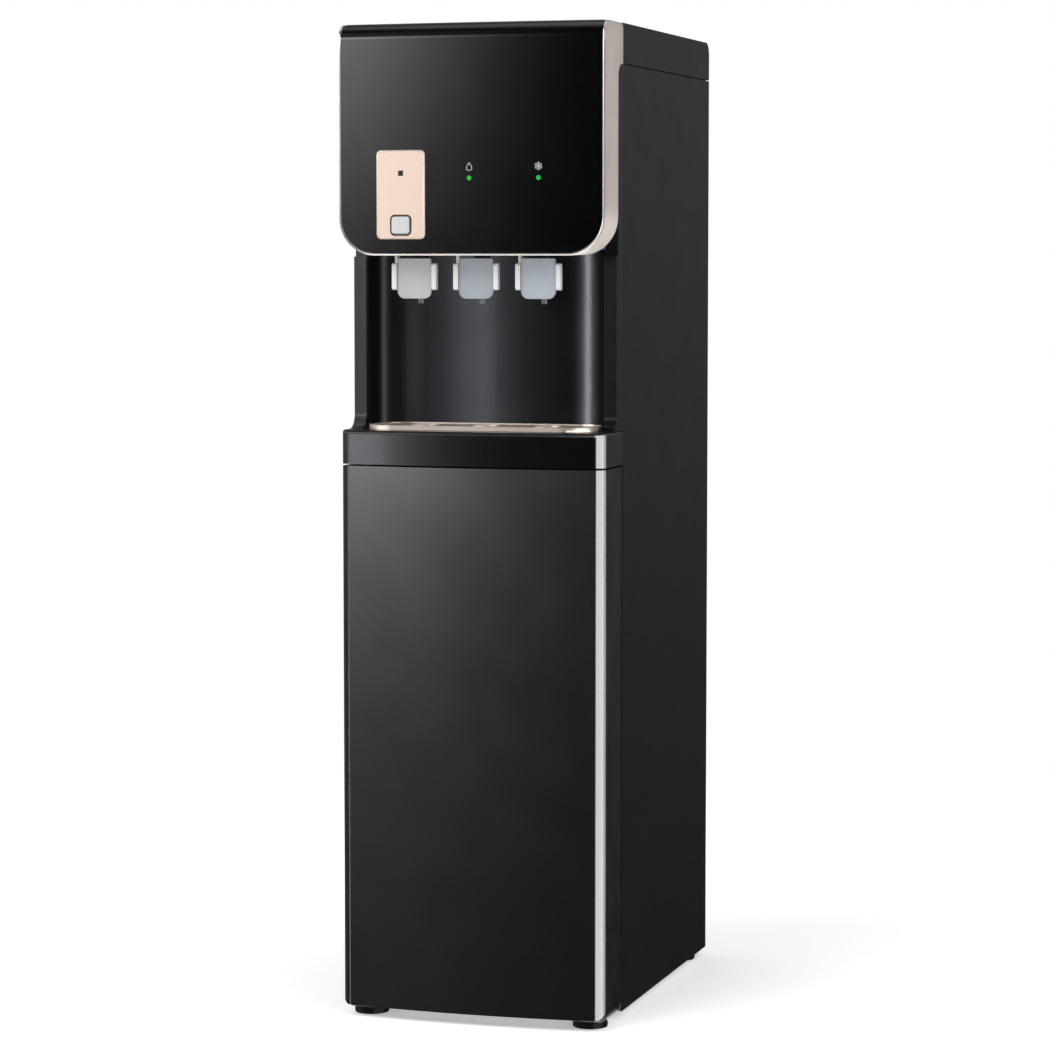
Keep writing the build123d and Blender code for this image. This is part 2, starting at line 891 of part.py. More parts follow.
def hinge_pins():
    """Lower pin in the base and upper pin in the shelf."""
    lower = post(hinge_x, hinge_y, base_z, door_bottom + hinge_pin_reach, hinge_pin_radius)
    upper = post(hinge_x, hinge_y, door_top - hinge_pin_reach, shelf_bottom + hinge_pin_reach,
                 hinge_pin_radius)
    return Compound(children=[lower, upper])


def door_catch():
    """Magnetic catch on the right side panel, behind the strike plate of the door."""
    root = side_front + fine_seam
    top = catch_z + catch_height
    arm = block(inside - catch_skin, inside, root, root + catch_depth, catch_z, top)
    magnet_front = door_rear - strike_depth + strike_skin + running
    low, high = catch_z + magnet_edge, top - magnet_edge
    magnet = block(inside - catch_width, inside - catch_skin, magnet_front, root + magnet_web, low, high)
    web = block(inside - catch_width, inside, root, root + magnet_web, low, high)
    return arm + magnet + web


def drip_tray():
    """Cup under the grid: it lies in the shelf on its flange and stands a little proud of it."""
    bottom = shelf_top - tray_depth
    cup = rise(tray_outline(-tray_lip), bottom, shelf_top)
    cup += rise(tray_outline(0), shelf_top - tray_skin + running, shelf_top)
    cup += rise(tray_outline(-grid_lap - running), shelf_top, tray_top)
    hollow = rise(tray_outline(-tray_lip - tray_skin), bottom + tray_skin, tray_top + over)
    return cup - hollow


def tray_grid():
    """Metallised tray cover: a raised rim that laps round the tray, and three slotted dishes."""
    low = tray_top + running
    floor = low + grid_skin
    cover = rise(tray_outline(0), low, low + grid_rim)
    cover -= rise(tray_outline(-grid_rim_width), floor, low + grid_rim + over)
    cover += rise(tray_outline(0), shelf_top + running, low)
    cover -= rise(tray_outline(-grid_lap), shelf_top, low)
    y = (tray_front + tray_back) / 2
    for x in tap_xs:
        cover += post(x, y, low - dish_depth, floor, dish_radius + grid_skin)
        cover -= post(x, y, low - dish_depth + grid_skin, floor + over, dish_radius)
        for i in (-1, 0, 1):
            slot = Pos(x, y + i * dish_slot_pitch) * SlotOverall(dish_slot_length, dish_slot_width)
            cover -= rise(slot, low - dish_depth - over, floor)
    return cover


# Head: trim, panel, controls


def head_trim_band():
    """Metallised surround of the head: both sides and the underside, with a notch behind."""
    outer = shield_outline(half, head_bottom, height, head_corner, head_top_corner)
    inner = shield_outline(half - trim_skin, head_bottom + trim_skin, height + ahead,
                           head_corner - trim_skin, head_top_corner)
    front = -head_bow - over
    low = head_bottom - over
    back = cover_front - fine_seam
    band = upright(outer, front, back) - upright(inner, front - over, cover_front)
    seam_z = cover_seam - fine_seam / 2
    profile = make_face(
        Polyline((front, low), (front, height - head_roll), (0, height - head_roll))
        + RadiusArc((0, height - head_roll), (head_roll, height), head_roll)
        + Polyline((head_roll, height), (back, height), (back, seam_z), (band_depth + band_notch, seam_z))
        + RadiusArc((band_depth + band_notch, seam_z), (band_depth, seam_z - band_notch), -band_notch)
        + Polyline((band_depth, seam_z - band_notch), (band_depth, low), (front, low))
    )
    band &= sideways(profile, -half - over, half + over)
    band &= rise(bowed_plan(half, head_bow, cover_front), low, height + over)
    window_half = post_inner - head_corner / 2
    return band - block(-window_half, window_half, front_corner, 2 * band_depth, low, housing_bottom + over)


def head_housing():
    """Black tray behind the front panel: sides and floor, with an opening for each tap."""
    corner = head_corner - trim_skin
    outer = shield_outline(housing_half, housing_bottom, height + ahead, corner, head_top_corner)
    inner = shield_outline(housing_half - skin, housing_floor, height + 2 * ahead,
                           corner - skin, head_top_corner)
    tray = upright(outer, panel_skin + running, strip_front) - upright(inner, 0, strip_front + over)
    tray &= block(-half, half, 0, depth, 0, cover_seam)
    for x in tap_xs:
        tray -= block(x - tap_opening_half, x + tap_opening_half, paddle_front - tap_front_gap,
                      tap_y + neck_radius + over, housing_bottom - over, housing_floor + over)
    return tray


def panel_blank(inset):
    """The head panel as a thick block with a rolled top front edge, set back by the given amount."""
    plan = Pos(0, inset) * bowed_plan(half, head_bow, 2 * panel_return)
    solid = rise(plan, head_bottom, height - inset)
    edge = solid.edges().group_by(Axis.Z)[-1].sort_by(Axis.Y)[0]
    return fillet(edge, head_roll - inset)


def head_front_panel():
    """Black glossy front of the head, rolled back at the top, with studs for the control board."""
    solid = panel_blank(0) - panel_blank(panel_skin)
    corner = head_corner - trim_skin - running
    shield = shield_outline(panel_half, panel_bottom, height, corner, head_top_corner)
    solid &= upright(shield, -ahead, panel_return)
    for x, z in stud_places():
        solid += rod_y(x, z, bow_y(x, head_bow) + panel_skin / 2, board_y, stud_radius)
    solid -= plate_sheet(-ahead)
    solid -= upright(button_outline(button_gap), -ahead, board_y)
    solid -= window_cut()
    for x in light_xs:
        solid -= rod_y(x, light_z, -ahead, board_y, light_radius)
    return solid


def plate_sheet(front):
    """Sheet with the outline of the control plate, from a given depth to the floor of its pocket."""
    floor = plate_skin - plate_proud
    body = bowed_sheet(head_bow, front, floor, plate_bottom, plate_bottom + plate_height)
    outline = Pos(plate_x, plate_z) * RectangleRounded(plate_width, plate_height, plate_corner)
    return body & upright(outline, -ahead, ahead)


def window_cut():
    """Square hole for the light guide of the control plate."""
    window = Pos(plate_x, window_z) * Rectangle(window_size, window_size)
    return upright(window, -ahead, board_y)


def control_plate():
    """Rose-coloured metal plate that follows the bow of the panel."""
    body = plate_sheet(-plate_proud)
    body -= upright(button_outline(button_gap), -ahead, board_y)
    return body - window_cut()


def button_outline(grow):
    """Front outline of the push button, made larger by the given amount."""
    outline = RectangleRounded(button_width + 2 * grow, button_height + 2 * grow, button_corner + grow)
    return Pos(plate_x, button_z) * outline


def lock_button():
    """Push button that unlocks hot water, with a collar that keeps it behind the panel."""
    surface = bow_y(plate_x, head_bow) - plate_proud
    collar = panel_back(plate_x - plate_width / 2) + running
    cap = upright(button_outline(0), surface - button_proud, collar + over)
    cap = fillet(cap.faces().sort_by(Axis.Y)[0].edges(), button_edge)
    cap += upright(button_outline(button_collar), collar, collar + button_collar_skin)
    return cap + rod_y(plate_x, button_z, collar, switch_front() - running, button_stem)


def panel_back(x):
    """Y of the back of the head panel at a given X."""
    return bow_y(x, head_bow) + panel_skin


def switch_front():
    """Y of the pressed-out plunger of the small switch behind the button."""
    return board_y - push_switch_reach


def stud_places():
    """Places of the four studs between the panel and the board."""
    reach = board_width / 2 - stud_inset
    rows = board_height / 2 - stud_inset
    return [(x, z) for x in (-reach, reach) for z in (plate_z - rows, plate_z + rows)]


def indicator_lenses():
    """Light guides: a square one in the control plate and two round ones in the panel."""
    front = bow_y(plate_x, head_bow) - plate_proud - window_sink
    window = Pos(plate_x, window_z) * Rectangle(window_size, window_size)
    lenses = [upright(window, front, board_y)]
    for x in light_xs:
        lenses.append(rod_y(x, light_z, bow_y(x, head_bow) - light_proud, board_y, light_radius))
    return Compound(children=lenses)


def control_board():
    """Circuit board behind the panel, with the switch under the button and two connectors."""
    low = plate_z - board_height / 2
    back = board_y + board_skin
    board = upright(Pos(0, plate_z) * Rectangle(board_width, board_height), board_y, back)
    plunger = Pos(plate_x, button_z) * Rectangle(push_switch, push_switch)
    board += upright(plunger, switch_front() + button_travel, board_y)
    z = low + connector_lift
    for x in connector_xs:
        board += block(x, x + connector_width, back, back + connector_height, z, z + connector_height)
    return board


# Taps


def tap_valve(x):
    """Tap body: seat flange, neck, valve chamber and the yoke that holds the lever pin."""
    seat = housing_floor
    back = strip_front - running
    cap_z = seat + valve_height
    body = post(x, tap_y, neck_bottom, seat + over, neck_radius)
    body += post(x, tap_y, seat, cap_z, valve_radius)
    body += post(x, tap_y, cap_z - valve_cap_height, cap_z, valve_cap_radius)
    port_end = tap_y + valve_cap_radius + valve_port_length
    body += rod_y(x, cap_z - valve_cap_height / 2, tap_y, port_end, valve_port_radius)
    for x0 in (x - yoke_half, x + yoke_half - yoke_skin):
        x1 = x0 + yoke_skin
        body += block(x0, x1, pivot_y - sleeve_radius, back,
                      pivot_z - sleeve_radius, pivot_z + sleeve_radius + yoke_rim)
        body += block(x0, x1, tap_y - neck_radius, back, seat, pivot_z)
    flange_half = tap_opening_half + tap_flange_lap
    body += block(x - flange_half, x + flange_half, tap_y - neck_radius, back, seat, seat + seat_skin)
    body -= rod_x(pivot_y, pivot_z, x - yoke_half, x + yoke_half, pin_radius)
    return body - post(x, tap_y, neck_bottom - over, neck_bottom + nozzle_socket, nozzle_radius)


def tap_valves():
    """The three tap bodies."""
    return Compound(children=[tap_valve(x) for x in tap_xs])


def tap_nozzles():
    """Clear outlet tubes in the necks of the taps, each ending in two small prongs."""
    nozzles = []
    for x in tap_xs:
        tip = post(x, tap_y, nozzle_tip, neck_bottom + nozzle_socket, nozzle_radius)
        tip -= post(x, tap_y, nozzle_tip - over, neck_bottom + nozzle_socket + over, nozzle_bore)
        tip -= block(x - prong_slot / 2, x + prong_slot / 2, tap_y - neck_radius, tap_y + neck_radius,
                     nozzle_tip - over, nozzle_tip + prong_height)
        nozzles.append(tip)
    return Compound(children=nozzles)


def tap_pins():
    """Steel pins that the levers turn on."""
    pins = [rod_x(pivot_y, pivot_z, x - yoke_half, x + yoke_half, pin_radius) for x in tap_xs]
    return Compound(children=pins)


def lever_half():
    """Half the width of a lever across its wings."""
    return paddle_width / 2 + wing_gap + wing_width


def tap_lever(x):
    """White lever: sleeve on the pin, one arm down to the wings, and a web behind the paddle."""
    reach = lever_half()
    arm_x = x - yoke_half + yoke_skin + running
    sleeve_end = x + yoke_half - yoke_skin - spring_room
    web_front = paddle_front + paddle_skin
    lever = rod_x(pivot_y, pivot_z, arm_x, sleeve_end, sleeve_radius)
    lever += block(arm_x, arm_x + arm_skin, web_front - over, web_front - over + arm_depth,
                   wing_top - arm_lap, pivot_z)
    wing_front = paddle_front - wing_proud
    for side in (-1, 1):
        x0, x1 = sorted((x + side * reach, x + side * (reach - wing_width)))
        outline = rounded(wing_front, wing_front + wing_depth, wing_bottom, wing_top, wing_corner)
        lever += sideways(outline, x0, x1)
    lever += block(x - reach + over, x + reach - over, web_front, web_front + skin,
                   wing_bottom + web_inset, wing_top - web_inset)
    return lever - rod_x(pivot_y, pivot_z, arm_x - over, sleeve_end + over, pin_radius + bore_play)


def tap_paddle(x):
    """Grey push pad in front of the lever, with a thin raised rim."""
    outline = Pos(x, paddle_bottom + paddle_height / 2) * Rectangle(paddle_width, paddle_height)
    lower = fillet(outline.vertices().group_by(Axis.Y)[0], paddle_corner)
    shape = fillet(lower.vertices().group_by(Axis.Y)[-1], paddle_top_corner)
    pad = upright(shape, paddle_front, paddle_front + paddle_skin)
    return pad - upright(offset(shape, -paddle_rim), paddle_front - over, paddle_front + paddle_dish)


def lever_spring(x):
    """Torsion spring on the pin between the sleeve of the lever and the yoke."""
    start = x + yoke_half - yoke_skin - (spring_room + spring_length) / 2
    mean_radius = pin_radius + 2 * spring_wire
    path = Helix(pitch=spring_length / spring_turns, height=spring_length, radius=mean_radius)
    section = Plane(origin=path @ 0, z_dir=path % 0) * Circle(spring_wire)
    coil = sweep(section, path=path)
    return Pos(start, pivot_y, pivot_z) * Rot(Y=90) * coil


def lever_springs():
    """The three return springs."""
    return Compound(children=[lever_spring(x) for x in tap_xs])


# Inside the cabinet


def filter_bracket():
    """Upright plate across the cabinet with one twist-in head for each cartridge."""
    low = bracket_top - bracket_height
    bracket = block(-inside, inside, bracket_y, bracket_y + sheet, low, bracket_top)
    for side in (-1, 1):
        x0, x1 = sorted((side * inside, side * (inside - sheet)))
        bracket += block(x0, x1, bracket_y, bracket_y + deck_flange, low, bracket_top)
    z0 = filter_top + running
    for x in filter_xs:
        head = block(x - filter_radius, x + filter_radius, filter_y - filter_radius, bracket_y,
                     z0, z0 + head_block_height)
        neck_top = z0 + filter_neck_height + running
        head -= post(x, filter_y, z0 - over, neck_top, filter_neck_radius + bore_play)
        bracket += head
    pipe_half = inside - over
    return bracket + rod_x(filter_y, head_line_z, -pipe_half, pipe_half, head_pipe_radius)


def filter_cartridge(x):
    """Twist-in cartridge: domed shell with grip ribs at the foot and a neck at the top."""
    bottom = filter_top - filter_height
    shell = post(x, filter_y, bottom, filter_top, filter_radius)
    shell = fillet(shell.edges().group_by(Axis.Z)[0], filter_foot_edge)
    shell = fillet(shell.edges().group_by(Axis.Z)[-1], filter_top_edge)
    shell += post(x, filter_y, filter_top - over, filter_top + filter_neck_height, filter_neck_radius)
    rib = Box(2 * rib_proud, rib_width, rib_height)
    rib = Pos(filter_radius, 0, bottom + rib_rise + rib_height / 2) * rib
    for i in range(filter_ribs):
        shell += Pos(x, filter_y, 0) * Rot(Z=i * 360.0 / filter_ribs) * rib
    return shell


def compressor():
    """Hermetic compressor: round shell of two domes on a foot plate, with a terminal box."""
    x, y, z0 = compressor_x, compressor_y, compressor_z
    foot_plate = Pos(x, y) * Rectangle(compressor_foot, compressor_foot_depth)
    foot_plate = rise(foot_plate, z0, z0 + base_sheet)
    shell = post(x, y, z0 + base_sheet, z0 + compressor_height, compressor_radius)
    shell = fillet(shell.edges().group_by(Axis.Z)[-1], compressor_top_edge)
    shell = fillet(shell.edges().group_by(Axis.Z)[0], compressor_foot_edge)
    weld = post(x, y, z0 + weld_rise, z0 + weld_rise + weld_height, compressor_radius + weld_proud)
    box_z = z0 + terminal_rise
    box = block(x - compressor_radius - terminal_depth, x, y - terminal_width / 2, y + terminal_width / 2,
                box_z, box_z + terminal_height)
    stub = post(*stub_place(), z0 + compressor_height - stub_root, stub_top(), pipe_tube + over)
    body = foot_plate + shell + weld + box + stub
    for x, y in mount_places():
        body -= post(x, y, z0 - over, z0 + base_sheet + over, mount_neck)
    return body


def stub_place():
    """X and Y of the outlet stub on the compressor."""
    return compressor_x, compressor_y - compressor_radius / 2


def stub_top():
    """Height of the end of the outlet stub."""
    return compressor_z + compressor_height + stub_length


def mount_places():
    """Places of the rubber mounts under the compressor."""
    reach = compressor_foot / 2 - mount_inset
    deep = compressor_foot_depth / 2 - mount_inset
    return [(compressor_x + a * reach, compressor_y + b * deep) for a in (-1, 1) for b in (-1, 1)]


def compressor_mounts():
    """Four rubber grommets that carry the compressor."""
    mounts = []
    top = compressor_z + base_sheet
    for x, y in mount_places():
        mount = post(x, y, base_top, compressor_z, mount_radius)
        mount += post(x, y, compressor_z, top, mount_neck)
        mounts.append(mount + post(x, y, top, top + mount_cap_height, mount_cap))
    return Compound(children=mounts)


def condenser_y():
    """Y of the middle of the condenser tube in the rear well."""
    return (panel_y + sheet + flange_y) / 2


def condenser_levels():
    """Heights of the passes of the condenser tube."""
    low = head_bottom - condenser_drop - (condenser_passes - 1) * condenser_pitch
    return [low + i * condenser_pitch for i in range(condenser_passes)]


def condenser():
    """Wire-and-tube condenser in the rear well with its clips, and the copper pipes that serve it."""
    y = condenser_y()
    levels = condenser_levels()
    points = []
    for i, z in enumerate(levels):
        ends = (-condenser_half, condenser_half) if i % 2 else (condenser_half, -condenser_half)
        points += [(ends[0], y, z), (ends[1], y, z)]
    pieces = [tube(points, condenser_bend, condenser_tube)]
    span = condenser_half - condenser_pitch
    beside = condenser_tube + condenser_wire + weld_gap
    for i in range(condenser_wires):
        x = -span + 2 * span * i / (condenser_wires - 1)
        for wire_y in (y - beside, y + beside):
            pieces.append(post(x, wire_y, levels[0] - condenser_wire_end, levels[-1] + condenser_wire_end,
                               condenser_wire))
    clip_x = span + 2 * clip_half
    for x in (-clip_x, clip_x):
        for z in (levels[1], levels[-2]):
            clip = block(x - clip_half, x + clip_half, panel_y + sheet, y + condenser_tube + skin,
                         z - clip_half, z + clip_half)
            pieces.append(clip - rod_x(y, z, x - clip_half, x + clip_half, condenser_tube))
    pieces += refrigerant_pipes()
    return Compound(children=[s for p in pieces for s in p.solids()])


def pipe_places():
    """Places (X, Z) where the refrigerant pipes pass the rear wall."""
    x = condenser_half + pipe_swing
    return [(x, condenser_levels()[0]), (x, condenser_levels()[-1])]


def refrigerant_pipes():
    """Copper pipes: from the compressor to the foot of the condenser, and from its head to the cold tank."""
    y = condenser_y()
    out_x = condenser_half + weld_gap
    (swing_x, low), (_, high) = pipe_places()
    (start_x, start_y), start_z = stub_place(), stub_top()
    rise_z = (start_z + low) / 2
    first = tube([(start_x, start_y, start_z), (start_x, start_y, rise_z), (swing_x, start_y + pipe_run, low),
                  (swing_x, y, low), (out_x, y, low)], pipe_bend, pipe_tube)
    jacket = cold_tank_radius + foam_wall + pipe_tube
    reach = math.sqrt(jacket ** 2 - (swing_x - cold_tank_x) ** 2)
    second = tube([(out_x, y, high), (swing_x, y, high), (swing_x, cold_tank_y + reach, high)],
                  pipe_bend, pipe_tube)
    return [first, second]


def domed_tank(x, y, z0, tank_height, radius, edge, stub_radius, stub_end):
    """Sheet steel tank with rounded ends and a bored stub on top: the outside and the inside shape."""
    outer = post(x, y, z0, z0 + tank_height, radius)
    outer = fillet(outer.edges().filter_by(GeomType.CIRCLE), edge)
    outer += post(x, y, z0 + tank_height - over, stub_end, stub_radius)
    inner = post(x, y, z0 + sheet, z0 + tank_height - sheet, radius - sheet)
    inner = fillet(inner.edges().filter_by(GeomType.CIRCLE), edge - sheet)
    inner += post(x, y, z0 + tank_height - 2 * sheet, stub_end + over, stub_radius - sheet)
    return outer, inner


def cold_tank():
    """Stainless cold tank with rounded ends, standing in its foam jacket, and its cooling coil."""
    z0 = lower_deck_z + sheet + foam_foot
    tank, inner = domed_tank(cold_tank_x, cold_tank_y, z0, cold_tank_height, cold_tank_radius,
                             cold_tank_edge, cold_stub_radius, upper_deck_z - fine_seam)
    for i in range(coil_turns):
        level = z0 + coil_rise + i * coil_pitch
        tank += Pos(cold_tank_x, cold_tank_y, level) * Torus(cold_tank_radius, coil_tube)
    return tank - inner


def cold_tank_foam():
    """Foam jacket round the cold tank, open at the top where the stub passes."""
    z0 = lower_deck_z + sheet
    top = z0 + foam_foot + cold_tank_height + foam_rim
    jacket = post(cold_tank_x, cold_tank_y, z0, top, cold_tank_radius + foam_wall)
    room = cold_tank_radius + coil_tube + running
    return jacket - post(cold_tank_x, cold_tank_y, z0 + foam_foot, top + over, room)


def hot_tank():
    """Stainless hot tank with rounded ends on three legs, with its outlet stub."""
    deck_top = lower_deck_z + sheet
    z0 = deck_top + hot_tank_lift
    stub_end = z0 + hot_tank_height + hot_stub_length
    tank, inner = domed_tank(hot_tank_x, hot_tank_y, z0, hot_tank_height, hot_tank_radius,
                             hot_tank_edge, hot_stub_radius, stub_end)
    for i in range(3):
        turn = math.radians(90 + 120 * i)
        x = hot_tank_x + leg_circle * math.cos(turn)
        y = hot_tank_y + leg_circle * math.sin(turn)
        tank += post(x, y, deck_top, z0 + sheet, leg_radius)
    return tank - inner


def heater_band():
    """Ring heater clamped round the hot tank, with its terminal block."""
    x, y = hot_tank_x, hot_tank_y
    z0 = lower_deck_z + sheet + hot_tank_lift + heater_rise
    outer = hot_tank_radius + heater_band_skin
    band = post(x, y, z0, z0 + heater_band_height, outer)
    block_z = z0 + heater_block_rise
    band += block(x - heater_block_width / 2, x + heater_block_width / 2, y - outer - heater_block_depth, y,
                  block_z, block_z + heater_block_height)
    return band - post(x, y, z0 - over, z0 + heater_band_height + over, hot_tank_radius + weld_gap)


def water_tank_outline():
    """Plan outline of the clean water tank."""
    return rounded(-water_tank_half, water_tank_half, water_tank_front, water_tank_rear, water_tank_corner)


def water_tank():
    """Open plastic tank for filtered water on the upper deck."""
    z0 = upper_deck_z + sheet
    tank = rise(water_tank_outline(), z0, z0 + water_tank_height)
    hollow = offset(water_tank_outline(), -water_tank_skin)
    return tank - rise(hollow, z0 + water_tank_skin, z0 + water_tank_height + over)


def water_tank_lid():
    """Lid of the filtered water tank, with a rim that laps inside its wall."""
    z0 = upper_deck_z + sheet + water_tank_height
    lid = rise(water_tank_outline(), z0, z0 + water_lid_skin)
    inner = offset(water_tank_outline(), -water_tank_skin - running)
    rim = rise(inner, z0 - water_lid_lap, z0)
    rim -= rise(offset(inner, -water_lid_skin), z0 - water_lid_lap - over, z0)
    y = (water_tank_front + water_tank_rear) / 2
    return lid + rim + post(0, y, z0, z0 + water_float_height, water_float_radius)


def booster_pump():
    """Diaphragm pump: motor, pump head with two ports, and a bracket on the base."""
    left = pump_x - pump_motor_length / 2
    right = pump_x + pump_motor_length / 2
    pump = rod_x(pump_y, pump_z, left, right, pump_motor_radius)
    pump += rod_x(pump_y, pump_z, left - pump_boss_length, left, pump_boss_radius)
    pump += rod_x(pump_y, pump_z, right - pump_head_length, right, pump_head_radius)
    pump += block(left, right, pump_y - pump_foot_half, pump_y + pump_foot_half,
                  base_top, base_top + pump_foot_skin)
    for x0 in (left + pump_saddle_inset, right - pump_saddle_inset - pump_saddle_width):
        pump += block(x0, x0 + pump_saddle_width, pump_y - pump_head_radius / 2,
                      pump_y + pump_head_radius / 2, base_top, pump_z)
    for y in port_ys():
        pump += post(port_x, y, pump_z, port_top, port_radius)
    return pump


def port_ys():
    """Y of the inlet and outlet ports of the pump."""
    return [pump_y - port_pitch / 2, pump_y + port_pitch / 2]


def solenoid_valve():
    """Inlet shut-off valve with its coil, on a small stand."""
    def part_of(width_x, depth_y, z0, z1):
        return rise(Pos(valve_x, valve_y) * Rectangle(width_x, depth_y), z0, z1)

    coil_z = valve_z + valve_body_radius
    front = valve_y - valve_half_length
    valve = part_of(valve_coil_width, valve_coil_depth, base_top, base_top + valve_stand_skin)
    valve += part_of(valve_stand_width, valve_stand_depth, base_top, valve_z)
    valve += rod_y(valve_x, valve_z, front, front + 2 * valve_half_length, valve_body_radius)
    valve += post(valve_x, valve_y, valve_z, coil_z + over, valve_neck_radius)
    return valve + part_of(valve_coil_width, valve_coil_depth, coil_z, coil_z + valve_coil_height)


def rear_fittings():
    """Push-in unions for feed and waste water, each with two lock nuts, and the drain stub."""
    fittings = [drain_stub()]
    start = panel_y - fitting_inside
    end = panel_y + sheet + fitting_reach
    for x in fitting_xs:
        union = rod_y(x, fitting_z, start, end, fitting_radius)
        for y in (panel_y - fitting_nut_height, panel_y + sheet):
            nut = Pos(x, fitting_z) * RegularPolygon(fitting_nut_radius, 6)
            union += upright(nut, y, y + fitting_nut_height)
        union -= rod_y(x, fitting_z, end - fitting_bore_depth, end + over, fitting_bore)
        fittings.append(union - rod_y(x, fitting_z, start - over, start + tube_socket, water_tube))
    return Compound(children=fittings)


def drain_stub():
    """Threaded drain stub of the hot tank in the rear wall."""
    stub = rod_y(drain_x, drain_z, panel_y - drain_inside, panel_y + sheet + drain_reach, fitting_radius)
    return stub + rod_y(drain_x, drain_z, panel_y - drain_flange, panel_y, fitting_nut_radius)


def drain_cap():
    """Screw cap on the drain stub, with grip ribs."""
    y0 = panel_y + sheet + running
    y1 = y0 + drain_cap_height
    cap = rod_y(drain_x, drain_z, y0, y1, drain_radius)
    cap = chamfer(cap.edges().group_by(Axis.Y)[-1], drain_cap_edge)
    rib = Box(2 * drain_rib_proud, drain_rib_width, drain_cap_height - drain_rib_gap)
    for i in range(drain_cap_ribs):
        turn = Rot(X=90) * Rot(Z=i * 360.0 / drain_cap_ribs)
        cap += Pos(drain_x, (y0 + y1) / 2 - drain_cap_edge, drain_z) * turn * Pos(drain_radius, 0, 0) * rib
    return cap - rod_y(drain_x, drain_z, y0 - over, y0 + drain_cap_bore, fitting_radius + bore_play)


def power_inlet():
    """Three-pole mains inlet with its flange on the rear wall."""
    place = Pos(inlet_x, inlet_z)
    back = panel_y + sheet + inlet_flange_skin
    flange = RectangleRounded(inlet_width + 2 * inlet_flange, inlet_height + inlet_flange,
                              inlet_corner + over)
    shell = RectangleRounded(inlet_width, inlet_height, inlet_corner)
    socket = RectangleRounded(inlet_width - 2 * inlet_wall, inlet_height - 2 * inlet_wall, inlet_corner)
    inlet = upright(place * flange, panel_y + sheet, back)
    inlet += upright(place * shell, panel_y - inlet_inside, panel_y + sheet)
    inlet -= upright(place * socket, back - inlet_socket, back + over)
    for i in (-1, 0, 1):
        lift = blade_height / 2 if i == 0 else -blade_height / 2
        blade = Pos(i * blade_pitch, lift) * Rectangle(blade_width, blade_height)
        inlet += upright(place * blade, back - inlet_socket - over, back - inlet_socket + blade_length)
    return inlet


def switch_bodies():
    """Frames of the two rocker switches in the rear wall."""
    bodies = []
    back = panel_y + sheet + switch_lap
    for x in switch_xs:
        place = Pos(x, switch_z)
        body = Rectangle(switch_width, switch_height)
        body = upright(place * body, panel_y - switch_depth, panel_y + sheet)
        flange = Rectangle(switch_width + 2 * switch_lap, switch_height + 2 * switch_lap)
        body += upright(place * flange, panel_y + sheet, back)
        well = Rectangle(switch_width - 2 * switch_wall, switch_height - 2 * switch_wall)
        body -= upright(place * well, panel_y - switch_well, back + over)
        axle_half = switch_width / 2 - rocker_axle + bore_play
        body -= rod_x(rocker_y, switch_z, x - axle_half, x + axle_half, rocker_axle + bore_play)
        bodies.append(body)
    return Compound(children=bodies)


def rocker(x):
    """Rocker of a rear switch on its axle, leaning to its off side."""
    half_w = switch_width / 2 - switch_wall - running
    reach = switch_height / 2 - switch_wall - rocker_end_gap
    end = rocker_tip + reach * math.tan(math.radians(rocker_lean))
    foot_end = reach - rocker_undercut
    outline = make_face(Polyline((0, -rocker_root), (foot_end, 0), (reach, end), (0, rocker_crest),
                                 (-reach, end), (-foot_end, 0), (0, -rocker_root)))
    key = extrude(outline, amount=half_w, both=True)
    key = Rot(Z=rocker_lean) * key
    key += Cylinder(rocker_axle, switch_width - 2 * rocker_axle)
    stance = Plane(origin=(x, rocker_y, switch_z), x_dir=(0, 0, 1), z_dir=(-1, 0, 0))
    return stance.location * key


def water_tubes():
    """Plastic tubes: feed to shut-off valve, valve to pump, pump to filters, and filters to clean tank."""
    return Compound(children=[feed_tube(), link_tube(), filter_tube(), riser_tube()])


def feed_tube():
    """From the feed union in the rear wall down to the shut-off valve."""
    start = panel_y - fitting_inside + tube_socket
    turn_y = panel_y - fitting_inside - pipe_run
    x = fitting_xs[0]
    return tube([(x, start, fitting_z), (x, turn_y, fitting_z), (valve_x, turn_y, valve_z),
                 (valve_x, valve_y + valve_half_length, valve_z)], water_bend, water_tube)


def link_tube():
    """From the shut-off valve up and over to the near port of the pump."""
    front = valve_y - valve_half_length
    turn_y = front - pipe_run
    over_z = port_top + pump_lift
    port_y = port_ys()[0]
    return tube([(valve_x, front, valve_z), (valve_x, turn_y, valve_z), (valve_x + pipe_run, turn_y, over_z),
                 (port_x, port_y, over_z), (port_x, port_y, port_top)], link_bend, water_tube)


def filter_tube():
    """From the far port of the pump up to the filter heads."""
    port_y = port_ys()[1]
    return tube([(port_x, port_y, port_top), (port_x, port_y, head_line_z),
                 (port_x, bracket_y + sheet, head_line_z)], water_bend, water_tube)


def riser_tube():
    """From the last filter head to the rear corner, up past both decks and into the clean tank."""
    x = filter_xs[0]
    riser_x = -(inside - riser_inset)
    riser_y = water_tank_rear + riser_gap
    top = upper_deck_z + riser_top
    return tube([(x, bracket_y + sheet, head_line_z), (x, bracket_y + 2 * pipe_run, head_line_z),
                 (riser_x, riser_y, head_line_z), (riser_x, riser_y, top),
                 (riser_x + pipe_run, riser_y, top), (riser_x + pipe_run, water_tank_rear, top)],
                riser_bend, water_tube)


